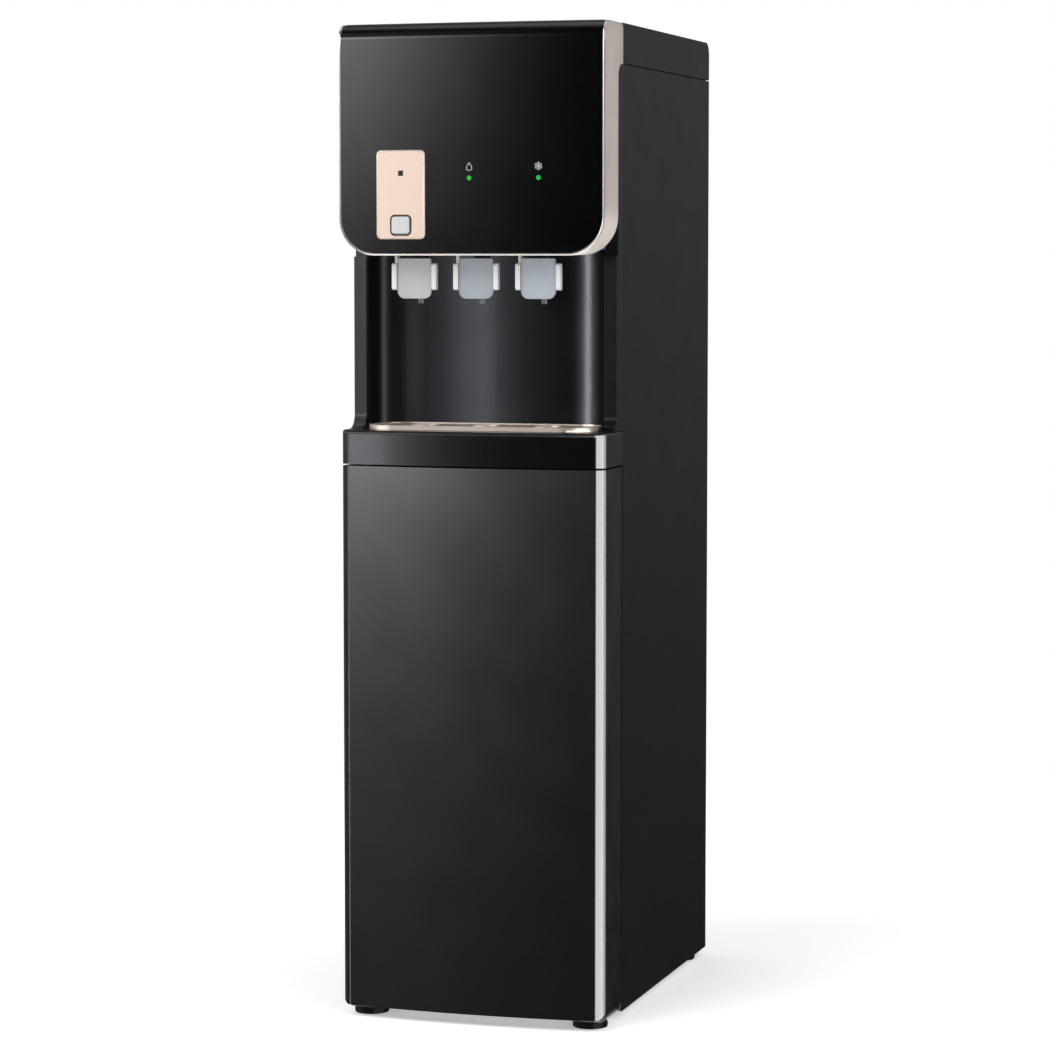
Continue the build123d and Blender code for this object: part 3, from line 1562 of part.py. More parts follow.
def main():
    """Builds every piece and writes it."""
    os.makedirs("parts", exist_ok=True)
    save("base_plate", base_plate())
    save("left_side_panel", drilled(side_panel(-1)))
    save("right_side_panel", drilled(side_panel(1)))
    save("rear_panel", drilled(rear_panel()))
    save("rear_screws", rear_screws())
    save("top_cover", top_cover())
    save("tank_decks", tank_decks())
    save("front_frame", front_frame())
    save("alcove_liner", alcove_liner())
    save("shelf_housing", shelf_housing())
    save("shelf_front_band", front_inlay(shelf_bottom, inlay_top()))
    save("door_frame", door_frame())
    save("door_front_panel", door_inlay())
    save("hinge_pins", hinge_pins())
    save("door_catch", door_catch())
    save("drip_tray", drip_tray())
    save("tray_grid", tray_grid())
    save("head_trim_band", head_trim_band())
    save("head_housing", head_housing())
    save("head_front_panel", head_front_panel())
    save("control_plate", control_plate())
    save("lock_button", lock_button())
    save("indicator_lenses", indicator_lenses())
    save("control_board", control_board())
    save("tap_valves", tap_valves())
    save("tap_nozzles", tap_nozzles())
    save("tap_pins", tap_pins())
    save("lever_springs", lever_springs())
    for name, x in zip(tap_names, tap_xs):
        save("tap_lever_" + name, tap_lever(x))
        save("tap_paddle_" + name, tap_paddle(x))
    save("filter_bracket", filter_bracket())
    for i, x in enumerate(filter_xs):
        save("filter_cartridge_" + str(i + 1), filter_cartridge(x))
    save("compressor", compressor())
    save("compressor_mounts", compressor_mounts())
    save("condenser", condenser())
    save("cold_tank", cold_tank())
    save("cold_tank_foam", cold_tank_foam())
    save("hot_tank", Compound(children=[hot_tank(), heater_band()]))
    save("water_tank", water_tank())
    save("water_tank_lid", water_tank_lid())
    save("booster_pump", booster_pump())
    save("solenoid_valve", solenoid_valve())
    save("rear_fittings", rear_fittings())
    save("drain_cap", drain_cap())
    save("power_inlet", power_inlet())
    save("switch_bodies", switch_bodies())
    for name, x in zip(["hot", "cold"], switch_xs):
        save("rocker_" + name, rocker(x))
    save("water_tubes", water_tubes())
    for name, place in zip(["front_left", "front_right", "rear_left", "rear_right"], foot_places()):
        save("foot_" + name, foot(*place))


main()
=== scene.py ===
# %% [markdown]
# # A free-standing water dispenser, dressed in Blender
#
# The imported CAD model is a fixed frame: every sheet, tank and lever already stands where it belongs.
# This lesson gives each of them a finish, adds the small forms that CAD leaves out, and lights the result
# like a product photograph. All lengths are metres, Z is up and the front of the machine looks along -Y.

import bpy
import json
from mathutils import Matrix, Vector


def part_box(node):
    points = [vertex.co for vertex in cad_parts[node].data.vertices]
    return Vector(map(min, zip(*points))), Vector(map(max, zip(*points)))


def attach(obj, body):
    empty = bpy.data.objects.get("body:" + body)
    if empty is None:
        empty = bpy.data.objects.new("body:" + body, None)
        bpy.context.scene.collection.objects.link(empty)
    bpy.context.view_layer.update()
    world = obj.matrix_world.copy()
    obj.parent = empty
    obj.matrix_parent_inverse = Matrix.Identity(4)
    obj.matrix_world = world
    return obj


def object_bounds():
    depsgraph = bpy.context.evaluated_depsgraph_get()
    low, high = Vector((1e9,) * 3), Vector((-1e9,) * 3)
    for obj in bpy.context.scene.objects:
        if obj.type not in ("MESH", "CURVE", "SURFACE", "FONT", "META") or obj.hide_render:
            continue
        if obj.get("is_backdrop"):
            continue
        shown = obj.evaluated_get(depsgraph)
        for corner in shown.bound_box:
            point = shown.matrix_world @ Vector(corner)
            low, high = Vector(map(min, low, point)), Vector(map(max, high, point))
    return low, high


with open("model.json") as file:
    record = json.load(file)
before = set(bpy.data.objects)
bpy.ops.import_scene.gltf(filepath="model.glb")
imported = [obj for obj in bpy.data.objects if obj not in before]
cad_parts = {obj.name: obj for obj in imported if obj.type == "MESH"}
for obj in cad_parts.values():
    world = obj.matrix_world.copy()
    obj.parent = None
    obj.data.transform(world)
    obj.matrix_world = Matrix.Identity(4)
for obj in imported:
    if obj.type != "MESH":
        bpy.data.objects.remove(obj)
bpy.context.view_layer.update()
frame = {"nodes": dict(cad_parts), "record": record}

import json
import math

import bmesh
import bpy
from mathutils import Vector
from mathutils.bvhtree import BVHTree

# %% [markdown]
# ## The camera
#
# The picture was taken from a little to the right of the machine and a little above its middle, with a long
# lens, so the vertical edges stay nearly parallel. A lens of 117 mm on a 36 mm sensor gives the same mild
# perspective. A shorter lens closer by would splay the sides, which is the usual mistake here.

# %% Camera
camera_data = bpy.data.cameras.new("product_camera")
camera_data.lens = 116.97
camera_data.sensor_width = 36.0
camera = bpy.data.objects.new("product_camera", camera_data)
camera.location = (1.1113, -3.5826, 0.8083)
camera.rotation_euler = (math.radians(90 - 4.505), 0.0, math.radians(17.324))
bpy.context.scene.collection.objects.link(camera)
bpy.context.scene.camera = camera
bpy.context.scene.view_settings.view_transform = "Standard"
print("camera stands", round(camera.location.length, 2), "m from the middle of the footprint")

# %% [markdown]
# ## A sheet of nodes
#
# Shader networks are easier to read as formulas than as wires. The small class below wraps one output socket,
# and Python's own arithmetic on it adds Math nodes. The other class holds a node tree and has one method that
# makes any node: its kind, its settings, then the values or links of its sockets.

# %% Wires and node sheets


class Wire:
    """One output socket. Arithmetic on it adds Math nodes to its sheet."""

    def __init__(self, sheet, socket):
        self.sheet, self.socket = sheet, socket

    def math(self, operation, first, second=0.0):
        return self.sheet.node("ShaderNodeMath", {"operation": operation}, {0: first, 1: second})

    def __add__(self, other):
        return self.math("ADD", self, other)

    def __sub__(self, other):
        return self.math("SUBTRACT", self, other)

    def __rsub__(self, other):
        return self.math("SUBTRACT", other, self)

    def __mul__(self, other):
        return self.math("MULTIPLY", self, other)

    def ramp(self, low, high, out_low=0.0, out_high=1.0):
        """A soft step: out_low up to low, out_high from high on."""
        sockets = {"Value": self, "From Min": low, "From Max": high, "To Min": out_low, "To Max": out_high}
        return self.sheet.node("ShaderNodeMapRange", {"interpolation_type": "SMOOTHSTEP"}, sockets)


class Sheet:
    """A node tree that is being filled."""

    def __init__(self, tree):
        self.tree = tree

    def node(self, kind, settings=None, sockets=None, output=0):
        made = self.tree.nodes.new(kind)
        for key, value in (settings or {}).items():
            setattr(made, key, value)
        for key, value in (sockets or {}).items():
            self.plug(made.inputs[key], value)
        return Wire(self, made.outputs[output]) if made.outputs else made

    def plug(self, socket, value):
        if isinstance(value, Wire):
            self.tree.links.new(value.socket, socket)
        else:
            socket.default_value = value

    def split(self, vector):
        """The three parts of a vector."""
        parts = self.tree.nodes.new("ShaderNodeSeparateXYZ")
        self.plug(parts.inputs[0], vector)
        return [Wire(self, socket) for socket in parts.outputs]

    def mix(self, factor, first, second):
        """A colour between two colours."""
        sockets = {0: factor, 6: first, 7: second}
        return self.node("ShaderNodeMix", {"data_type": "RGBA"}, sockets, output=2)


print("wires and sheets are ready")

# %% [markdown]
# ## The studio
#
# Black gloss is mostly a mirror, so the shape of the light matters more than its strength. The world gives
# an even grey light to everything matt. To mirror rays it shows a studio instead: a tall soft screen to the
# front left, a dark room behind the camera, a white wall to the right and a pale floor. Camera rays see
# plain white. One lamp for all of it would be simpler, but a black front would then show either nothing or
# a hard patch.
#
# Each part of the studio is a product of soft steps in two angles: how far round a direction lies, with 0
# to the front and 90 to the right, and how high it rises. The last number of each term is its brightness.

# %% World
AMBIENT = 0.62
DARK_ROOM = 0.01
DEGREES = 180 / math.pi
world = bpy.data.worlds.new("studio")
world.use_nodes = True
bpy.context.scene.world = world
world.node_tree.nodes.clear()
sky = Sheet(world.node_tree)
direction = sky.node("ShaderNodeTexCoord", output="Generated")
east, north, up = sky.split(direction)
turn = sky.node("ShaderNodeMath", {"operation": "ARCTAN2"}, {0: east, 1: north * -1.0}) * DEGREES
rise = sky.node("ShaderNodeMath", {"operation": "ARCSINE"}, {0: up}) * DEGREES

screen_edge = turn.ramp(-8, -32)
screen = screen_edge * screen_edge * turn.ramp(-95, -60) * rise.ramp(-1, 8) * rise.ramp(20, 12) * 8.5
screen_glow = turn.ramp(-12, -34) * turn.ramp(-150, -95) * rise.ramp(-8, 6) * rise.ramp(60, 25) * 0.4
left_wall = turn.ramp(-60, -90) * turn.ramp(-140, -110) * 0.3
right_wall = turn.ramp(24, 50) * turn.ramp(118, 85) * 1.0
back_wall = (turn.ramp(125, 150) + turn.ramp(-125, -150)) * rise.ramp(-14, 12, 0.0, 0.25)
pale_floor = rise.ramp(-24, -50) * 0.7 + rise.ramp(-50, -75) * 0.5
ceiling = rise.ramp(55, 75) * 0.9
mirrored = screen + screen_glow + left_wall + right_wall + back_wall + pale_floor + ceiling + DARK_ROOM

path = sky.tree.nodes.new("ShaderNodeLightPath")
seen = Wire(sky, path.outputs["Is Camera Ray"])
through = Wire(sky, path.outputs["Is Transmission Ray"])
glossy = Wire(sky, path.outputs["Is Glossy Ray"])
white = sky.node("ShaderNodeMath", {"operation": "MAXIMUM"}, {0: seen, 1: through})
level = glossy * mirrored + (1 - glossy) * AMBIENT
strength = white + (1 - white) * level
background = sky.node("ShaderNodeBackground", None, {"Color": (1, 1, 1, 1), "Strength": strength})
sky.node("ShaderNodeOutputWorld", None, {"Surface": background})
print("ambient level", AMBIENT)

# %% [markdown]
# ## Lamps
#
# Two wide suns shape the matt pieces without a hard shadow. The reflectors are what a photographer puts
# beside a black product: cards of light that only polished surfaces show. Light linking gives each card its
# own pieces, so the rounded right corner can gleam from top to bottom while the flat sheet next to it stays
# black.
#
# The soft upright bands in the alcove, on the post and on the shelf are made another way, with a narrow matt
# card close in front of the surface. Its light falls off within a few centimetres, so a band has soft edges
# from wherever it is seen, while the mirror of a card would move with the camera.

# %% Lamp makers
GLOW_MIDDLE = 0.72
GLOW_HEIGHT = 0.9


def towards(azimuth_deg, elevation_deg=0.0):
    """The unit vector that points to the given side, with 0 to the front and 90 to the right."""
    a, e = math.radians(azimuth_deg), math.radians(elevation_deg)
    return Vector((math.sin(a) * math.cos(e), -math.cos(a) * math.cos(e), math.sin(e)))


def aim(lamp, azimuth_deg, elevation_deg):
    """Turns a lamp so that it shines from the given side towards the middle."""
    lamp.rotation_euler = towards(azimuth_deg, elevation_deg).to_track_quat("Z", "Y").to_euler()


def sun(name, azimuth_deg, elevation_deg, level, angle_deg):
    """A soft distant lamp; level 1 alone would light a white that faces it to full white."""
    data = bpy.data.lights.new(name, "SUN")
    data.energy = level * math.pi
    data.angle = math.radians(angle_deg)
    lamp = bpy.data.objects.new(name, data)
    aim(lamp, azimuth_deg, elevation_deg)
    lamp.visible_glossy = False
    bpy.context.scene.collection.objects.link(lamp)
    return lamp


def collect(name, members):
    """A collection of CAD nodes, given by name, or of pieces, for light linking."""
    group = bpy.data.collections.new(name)
    for member in members:
        group.objects.link(frame["nodes"][member] if isinstance(member, str) else member)
    return group


def card(name, place, azimuth_deg, size, level, nodes, blockers=None, matt=False, elevation_deg=0,
         sampled=False):
    """A card of light that stands on the given side and lights only the given nodes.

    A matt card lights as a lamp does and isn't mirrored; any other card is only mirrored. A sampled card is
    also mirrored where other parts stand between it and the nodes.
    """
    data = bpy.data.lights.new(name, "AREA")
    data.shape = "RECTANGLE"
    data.size, data.size_y = size
    data.energy = level * math.pi * size[0] * size[1]
    lamp = bpy.data.objects.new(name, data)
    aim(lamp, azimuth_deg, elevation_deg)
    lamp.location = place
    lamp.visible_camera = lamp.visible_transmission = False
    lamp.visible_diffuse = matt
    lamp.visible_glossy = not matt
    data.cycles.use_multiple_importance_sampling = not sampled
    lamp.light_linking.receiver_collection = collect(name + "_shown", nodes)
    lamp.light_linking.blocker_collection = collect(name + "_hidden", blockers or nodes)
    bpy.context.scene.collection.objects.link(lamp)
    return lamp


def reflector(name, target, azimuth_deg, distance, size, level, nodes, sampled=False):
    """A mirrored card at a distance from its target."""
    place = Vector(target) + towards(azimuth_deg) * distance
    return card(name, place, azimuth_deg, size, level, nodes, sampled=sampled)


def glow(name, spot, azimuth_deg, gap, width, level, node):
    """A narrow upright card close in front of a surface: a soft band of light about twice the gap wide.

    The drain cap at the back is its only blocker, so nothing near the surface shades the band.
    """
    place = Vector((*spot, GLOW_MIDDLE)) + towards(azimuth_deg) * gap
    return card(name, place, azimuth_deg, (width, GLOW_HEIGHT), level, [node], ["drain_cap"], matt=True)


print("lamp makers are ready")

# %% Suns and mirrored cards
DOOR_CORNER = (0.14, -0.20, 0.45)
sun("key_lamp", -35, 48, 0.48, 40)
sun("fill_lamp", 70, 40, 0.30, 50)
corner_nodes = ["door_frame", "shelf_housing"]
reflector("corner_card", DOOR_CORNER, 50, 1.2, (2.4, 2.4), 19.5, corner_nodes)
reflector("trim_card", (0.145, -0.18, 0.88), 168, 1.0, (2.6, 1.8), 0.36, ["head_trim_band"], sampled=True)
reflector("trim_low_card", (0.10, -0.18, 0.54), 180, 1.0, (2.6, 0.6), 0.46, ["head_trim_band"], sampled=True)
reflector("side_card", DOOR_CORNER, 109, 1.2, (0.95, 2.4), 8.0, corner_nodes)
reflector("door_card", (-0.02, -0.20, 1.02), -42, 1.30, (0.7, 0.45), 140.0, ["door_front_panel"])

# %% Bands of light
LINER_SKIN = 0.0025
LINER_CORNER = 0.056
POST_MIDDLE = 0.006
BAND_EDGE = 0.010
liner_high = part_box("alcove_liner")[1]
back, inner = liner_high.y - LINER_SKIN, liner_high.x - LINER_SKIN
glow("alcove_glow", (-0.040, back), 0, 0.041, 0.010, 138, "alcove_liner")
for name, side, turned, gap, level in (("left", -1, 80, 0.006, 93), ("right", 1, 14.5, 0.0046, 285)):
    a = math.radians(turned)
    spot = (side * (inner - LINER_CORNER + LINER_CORNER * math.sin(a)),
            back - LINER_CORNER + LINER_CORNER * math.cos(a))
    glow("alcove_glow_" + name, spot, -side * turned, gap, 0.002, level, "alcove_liner")
post_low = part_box("front_frame")[0]
glow("post_glow", (post_low.x + POST_MIDDLE, post_low.y), 0, 0.06, 0.02, 68, "front_frame")
band_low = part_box("shelf_front_band")[0]
glow("band_glow", (band_low.x, band_low.y + BAND_EDGE), 0, 0.062, 0.02, 310, "shelf_front_band")

# %% [markdown]
# ## The floor
#
# A product photograph stands on white paper that has no edge. A plain plane with a pale matt paint keeps the
# soft shadow, but its tone would differ from the white behind it. So for the camera the paint gets a little
# light of its own, and further out it fades to plain white, where the shadow has ended.

# %% Floor
FLOOR_HALF = 12.0
FADE_START, FADE_END = 0.7, 1.8
floor_mesh = bpy.data.meshes.new("floor")
corners = [(x * FLOOR_HALF, y * FLOOR_HALF, 0) for x, y in ((-1, -1), (1, -1), (1, 1), (-1, 1))]
floor_mesh.from_pydata(corners, [], [(0, 1, 2, 3)])
floor = bpy.data.objects.new("floor", floor_mesh)
bpy.context.scene.collection.objects.link(floor)
floor.visible_glossy = False
paint = bpy.data.materials.new("floor_paint")
paint.use_nodes = True
paint.node_tree.nodes.clear()
ground = Sheet(paint.node_tree)
spot = ground.node("ShaderNodeTexCoord", output="Object")
distance = ground.node("ShaderNodeVectorMath", {"operation": "LENGTH"}, {0: spot}, output="Value")
seen = ground.node("ShaderNodeLightPath", output="Is Camera Ray")
matt = ground.node("ShaderNodeBsdfDiffuse", None, {"Color": (0.86, 0.86, 0.86, 1)})
lift = ground.node("ShaderNodeEmission", None, {"Color": (1, 1, 1, 1), "Strength": seen * 0.3})
lit = ground.node("ShaderNodeAddShader", None, {0: matt, 1: lift})
plain = ground.node("ShaderNodeEmission", None, {"Color": (1, 1, 1, 1), "Strength": 1.0})
far = distance.ramp(FADE_START, FADE_END) * seen
both = ground.node("ShaderNodeMixShader", None, {0: far, 1: lit, 2: plain})
ground.node("ShaderNodeOutputMaterial", None, {"Surface": both})
floor_mesh.materials.append(paint)
floor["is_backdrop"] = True
print("floor", 2 * FLOOR_HALF, "m wide")

# %% [markdown]
# ## Finishes
#
# Each finish starts from the same shader and differs in what feeds it. Moulded plastic has a fine texture
# from the mould, painted steel the faint ripple of orange peel, and every one of them is a little uneven in
# how it shines. The Bevel node rounds the drawn edges by a fraction of a millimetre, because a real edge
# always catches a thin line of light.

# %% The finish maker


class Finish(Sheet):
    """A material: one Principled shader, and helpers for the patterns that feed it."""

    def __init__(self, name, colour, roughness, **constants):
        self.material = bpy.data.materials.new(name)
        self.material.use_nodes = True
        super().__init__(self.material.node_tree)
        self.shader = self.tree.nodes["Principled BSDF"]
        self.shader.inputs["Base Color"].default_value = (*colour, 1)
        self.shader.inputs["Roughness"].default_value = roughness
        for key, value in constants.items():
            self.shader.inputs[key.replace("_", " ")].default_value = value
        self.colour, self.roughness = colour, roughness
        self.spot = self.node("ShaderNodeTexCoord", output="Object")

    def feed(self, **wires):
        for key, value in wires.items():
            self.plug(self.shader.inputs[key.replace("_", " ")], value)
        return self

    def noise(self, size, detail=2.0, stretch=(1, 1, 1)):
        """Noise from 0 to 1 with features about size metres across, longer along a stretched axis."""
        scale = [1 / (size * s) for s in stretch]
        scaled = self.node("ShaderNodeMapping", None, {"Vector": self.spot, "Scale": scale})
        return self.node("ShaderNodeTexNoise", None, {"Vector": scaled, "Scale": 1.0, "Detail": detail})

    def shade(self, wire, amount):
        """The base colour, darker and lighter by amount where wire is low and high."""
        dark = (*[c * (1 - amount) for c in self.colour], 1)
        light = (*[min(1.0, c * (1 + amount)) for c in self.colour], 1)
        return self.feed(Base_Color=self.mix(wire, dark, light))

    def uneven(self, wire, amount):
        """Roughness that varies by amount around its value."""
        return self.feed(Roughness=(wire - 0.5) * (2 * amount) + self.roughness)

    def relief(self, wire, distance, strength=1.0, edge=0.0):
        """Bump of the given depth in metres, over edges rounded by edge metres."""
        sockets = {"Height": wire, "Distance": distance, "Strength": strength}
        if edge:
            sockets["Normal"] = self.node("ShaderNodeBevel", {"samples": 4}, {"Radius": edge})
        return self.feed(Normal=self.node("ShaderNodeBump", None, sockets))


print("the finish maker is ready")

# %% [markdown]
# ## Finishes of the outside
#
# The cabinet is powder-painted steel, the head, shelf and door are black plastic in several grades of
# gloss, and the bright parts are metal or metallised. The blacks differ only a little in colour. What tells
# them apart is roughness, which says how sharp the studio is in them, and the index of refraction, which
# says how bright. The light guides glow in green, apart from the one under the window of the rose plate: it
# is off while hot water is locked.

# %% Finishes of the outside
WINDOW_EDGE = -0.045


def painted_steel():
    made = Finish("black_powder_paint", (0.0066, 0.0071, 0.0080), 0.38, IOR=1.5)
    made.shade(made.noise(0.09), 0.10)
    made.uneven(made.noise(0.05), 0.05)
    return made.relief(made.noise(0.0016, 3.0), 0.00006, 0.5, edge=0.0006)


def satin_plastic():
    made = Finish("satin_black_plastic", (0.0035, 0.0036, 0.0039), 0.24, IOR=1.42)
    made.shade(made.noise(0.04), 0.12)
    made.uneven(made.noise(0.03), 0.05)
    return made.relief(made.noise(0.0005, 2.0), 0.00002, 0.4, edge=0.0005)


def gloss_plastic():
    made = Finish("gloss_black_plastic", (0.0020, 0.0021, 0.0023), 0.14, IOR=1.5)
    made.shade(made.noise(0.05), 0.10)
    made.uneven(made.noise(0.02), 0.03)
    return made.relief(made.noise(0.03, 1.0), 0.0001, 0.3, edge=0.0004)


def liner_plastic():
    made = Finish("alcove_gloss_black", (0.0036, 0.0038, 0.0042), 0.20, IOR=1.25)
    made.shade(made.noise(0.05), 0.10)
    made.uneven(made.noise(0.03), 0.02)
    return made.relief(made.noise(0.002, 2.0), 0.00001, 0.3, edge=0.0004)


def deep_gloss():
    made = Finish("deep_gloss_panel", (0.0014, 0.0014, 0.0016), 0.12, IOR=1.5)
    made.shade(made.noise(0.06), 0.10)
    made.uneven(made.noise(0.04), 0.03)
    return made.relief(made.noise(0.05, 1.0), 0.0001, 0.25, edge=0.0004)


def front_sheet(name, roughness, ior):
    made = Finish(name, (0.0028, 0.0029, 0.0031), roughness, IOR=ior)
    made.shade(made.noise(0.08), 0.10)
    made.uneven(made.noise(0.05), 0.03)
    return made.relief(made.noise(0.0012, 2.0), 0.00003, 0.3, edge=0.0004)


def champagne(name, colour, roughness):
    made = Finish(name, colour, roughness, Metallic=1.0)
    made.shade(made.noise(0.0012, 2.0), 0.05)
    made.uneven(made.noise(0.01), 0.03)
    return made.relief(made.noise(0.0006, 2.0), 0.00002, 0.2, edge=0.0007)


def rose_aluminium():
    made = Finish("rose_anodised", (0.76, 0.585, 0.49), 0.38, Metallic=0.20)
    made.shade(made.noise(0.0006, 3.0, stretch=(1, 1, 40)), 0.04)
    made.uneven(made.noise(0.0008, 2.0, stretch=(1, 1, 30)), 0.06)
    return made.relief(made.noise(0.0004, 2.0, stretch=(1, 1, 60)), 0.00001, 0.4, edge=0.0005)


def bronze():
    made = Finish("rose_metallised", (0.80, 0.69, 0.61), 0.24, Metallic=0.65)
    made.shade(made.noise(0.01), 0.08)
    made.uneven(made.noise(0.006), 0.05)
    return made.relief(made.noise(0.004, 1.0), 0.00003, 0.3, edge=0.0005)


def silver():
    made = Finish("satin_silver", (0.62, 0.62, 0.625), 0.34, Metallic=0.25)
    made.shade(made.noise(0.001, 2.0), 0.04)
    made.uneven(made.noise(0.002), 0.05)
    return made.relief(made.noise(0.0004, 2.0), 0.00001, 0.3, edge=0.0006)


def grey_satin(name, colour):
    made = Finish(name, colour, 0.30, IOR=1.5)
    made.shade(made.noise(0.02), 0.06)
    made.uneven(made.noise(0.01), 0.04)
    return made.relief(made.noise(0.0005, 2.0), 0.00002, 0.3, edge=0.0007)


def white_moulded():
    made = Finish("white_moulded_plastic", (0.82, 0.82, 0.815), 0.28, IOR=1.5)
    made.shade(made.noise(0.02), 0.03)
    made.uneven(made.noise(0.01), 0.04)
    return made.relief(made.noise(0.0008, 2.0), 0.00002, 0.3, edge=0.0005)


def clear_moulded():
    made = Finish("clear_moulded_plastic", (0.90, 0.93, 0.95), 0.12, IOR=1.46, Transmission_Weight=0.85)
    made.uneven(made.noise(0.01), 0.04)
    return made.relief(made.noise(0.001, 2.0), 0.00003, 0.3)


def green_light():
    made = Finish("green_light_guide", (0.004, 0.10, 0.015), 0.25, Emission_Strength=0.55)
    cloudy = made.noise(0.003)
    lit = made.split(made.spot)[0].ramp(WINDOW_EDGE - 0.005, WINDOW_EDGE + 0.005)
    green = made.mix(cloudy, (0.001, 0.60, 0.02, 1), (0.003, 0.75, 0.03, 1))
    made.feed(Base_Color=made.mix(lit, (0.006, 0.005, 0.005, 1), (0.004, 0.10, 0.015, 1)))
    return made.feed(Emission_Color=made.mix(lit, (0, 0, 0, 1), green))


print("finishes of the outside are defined")

# %% [markdown]
# ## Finishes of the inside
#
# Behind the door and at the back each part looks like what it is made of: zinc-coated sheet with its
# crystals, stainless tanks, black enamel on the compressor, milky tanks and white tube. A zinc crystal is a
# flat patch with its own shade, so a cell pattern with one random value per cell fits it better than noise
# would.

# %% Finishes of the inside


def zinc():
    made = Finish("zinc_coated_steel", (0.42, 0.43, 0.45), 0.38, Metallic=0.6)
    cells = made.node("ShaderNodeTexVoronoi", None, {"Vector": made.spot, "Scale": 210.0}, output="Color")
    grey = made.node("ShaderNodeRGBToBW", None, {0: cells})
    made.shade(grey, 0.10)
    made.uneven(grey, 0.08)
    return made.relief(made.noise(0.003), 0.00002, 0.3)


def bare_steel():
    made = Finish("plain_steel", (0.66, 0.66, 0.67), 0.30, Metallic=1.0)
    made.shade(made.noise(0.002), 0.10)
    made.uneven(made.noise(0.001), 0.08)
    return made.relief(made.noise(0.0004, 2.0), 0.00001, 0.4, edge=0.0002)


def stainless():
    made = Finish("stainless_sheet", (0.70, 0.70, 0.70), 0.26, Metallic=1.0)
    made.shade(made.noise(0.0008, 2.0, stretch=(1, 1, 30)), 0.10)
    made.uneven(made.noise(0.02), 0.08)
    return made.relief(made.noise(0.0005, 2.0, stretch=(1, 1, 30)), 0.00001, 0.4, edge=0.0008)


def spring_wire():
    made = Finish("spring_wire", (0.55, 0.55, 0.56), 0.28, Metallic=1.0)
    made.shade(made.noise(0.001), 0.12)
    return made.uneven(made.noise(0.0006), 0.08)


def black_enamel():
    made = Finish("black_enamel", (0.012, 0.012, 0.013), 0.26, Coat_Weight=0.5, Coat_Roughness=0.1)
    made.shade(made.noise(0.02), 0.2)
    made.uneven(made.noise(0.01), 0.08)
    return made.relief(made.noise(0.003, 3.0), 0.00010, 0.5, edge=0.0008)


def rubber():
    made = Finish("black_rubber", (0.014, 0.014, 0.014), 0.75)
    made.shade(made.noise(0.004), 0.25)
    made.uneven(made.noise(0.003), 0.08)
    return made.relief(made.noise(0.0008, 3.0), 0.00006, 0.6, edge=0.0005)


def foam():
    made = Finish("expanded_foam", (0.84, 0.84, 0.81), 0.9)
    beads = made.node("ShaderNodeTexVoronoi", None, {"Vector": made.spot, "Scale": 260.0})
    made.shade(beads, 0.06)
    return made.relief(beads, 0.0008, 0.8)


def tank_plastic():
    made = Finish("milky_tank_plastic", (0.78, 0.82, 0.84), 0.36, Transmission_Weight=0.25, IOR=1.5)
    made.shade(made.noise(0.03), 0.05)
    made.uneven(made.noise(0.02), 0.05)
    return made.relief(made.noise(0.004), 0.00005, 0.4, edge=0.001)


def pump_black():
    made = Finish("pump_black", (0.022, 0.022, 0.024), 0.4)
    made.shade(made.noise(0.01), 0.2)
    made.uneven(made.noise(0.004), 0.08)
    return made.relief(made.noise(0.0008, 3.0), 0.00005, 0.5, edge=0.0006)


def tube_plastic():
    made = Finish("white_tube", (0.80, 0.82, 0.83), 0.34, Transmission_Weight=0.15)
    made.shade(made.noise(0.01), 0.05)
    return made.uneven(made.noise(0.005), 0.06)


def filter_white():
    made = Finish("filter_shell_white", (0.83, 0.84, 0.85), 0.28)
    made.shade(made.noise(0.02), 0.03)
    made.uneven(made.noise(0.01), 0.05)
    return made.relief(made.noise(0.001, 2.0), 0.00002, 0.3, edge=0.0006)


def solder_mask():
    made = Finish("green_board", (0.02, 0.14, 0.055), 0.32)
    traces = made.node("ShaderNodeTexBrick", None, {
        "Vector": made.spot, "Color1": (0, 0, 0, 1), "Color2": (0.3, 0.3, 0.3, 1), "Mortar": (1, 1, 1, 1),
        "Scale": 120.0, "Mortar Size": 0.04})
    made.feed(Base_Color=made.mix(traces, (0.02, 0.14, 0.055, 1), (0.04, 0.22, 0.09, 1)))
    return made.uneven(made.noise(0.004), 0.06)


finishes = {
    "zinc_steel": zinc(),
    "black_steel": painted_steel(),
    "steel": bare_steel(),
    "black_plastic": satin_plastic(),
    "gloss_black": gloss_plastic(),
    "piano_panel": front_sheet("door_sheet_black", 0.35, 1.30),
    "bronze_grid": bronze(),
    "champagne_trim": champagne("champagne_trim", (0.80, 0.70, 0.635), 0.30),
    "rose_plate": rose_aluminium(),
    "silver_button": silver(),
    "green_lens": green_light(),
    "board": solder_mask(),
    "clear_plastic": clear_moulded(),
    "spring_steel": spring_wire(),
    "white_plastic": white_moulded(),
    "compressor_black": black_enamel(),
    "rubber": rubber(),
    "stainless": stainless(),
    "foam": foam(),
    "tank_plastic": tank_plastic(),
    "pump_black": pump_black(),
    "tube_plastic": tube_plastic(),
    "filter_white": filter_white(),
}
# A darker copy of the trim's champagne for the lip: painted shade that keeps the lip dim where its round
# section mirrors the bright screen.
lip_shaded_finish = champagne("champagne_lip_painted_shade", (0.50, 0.46, 0.435), 0.24)
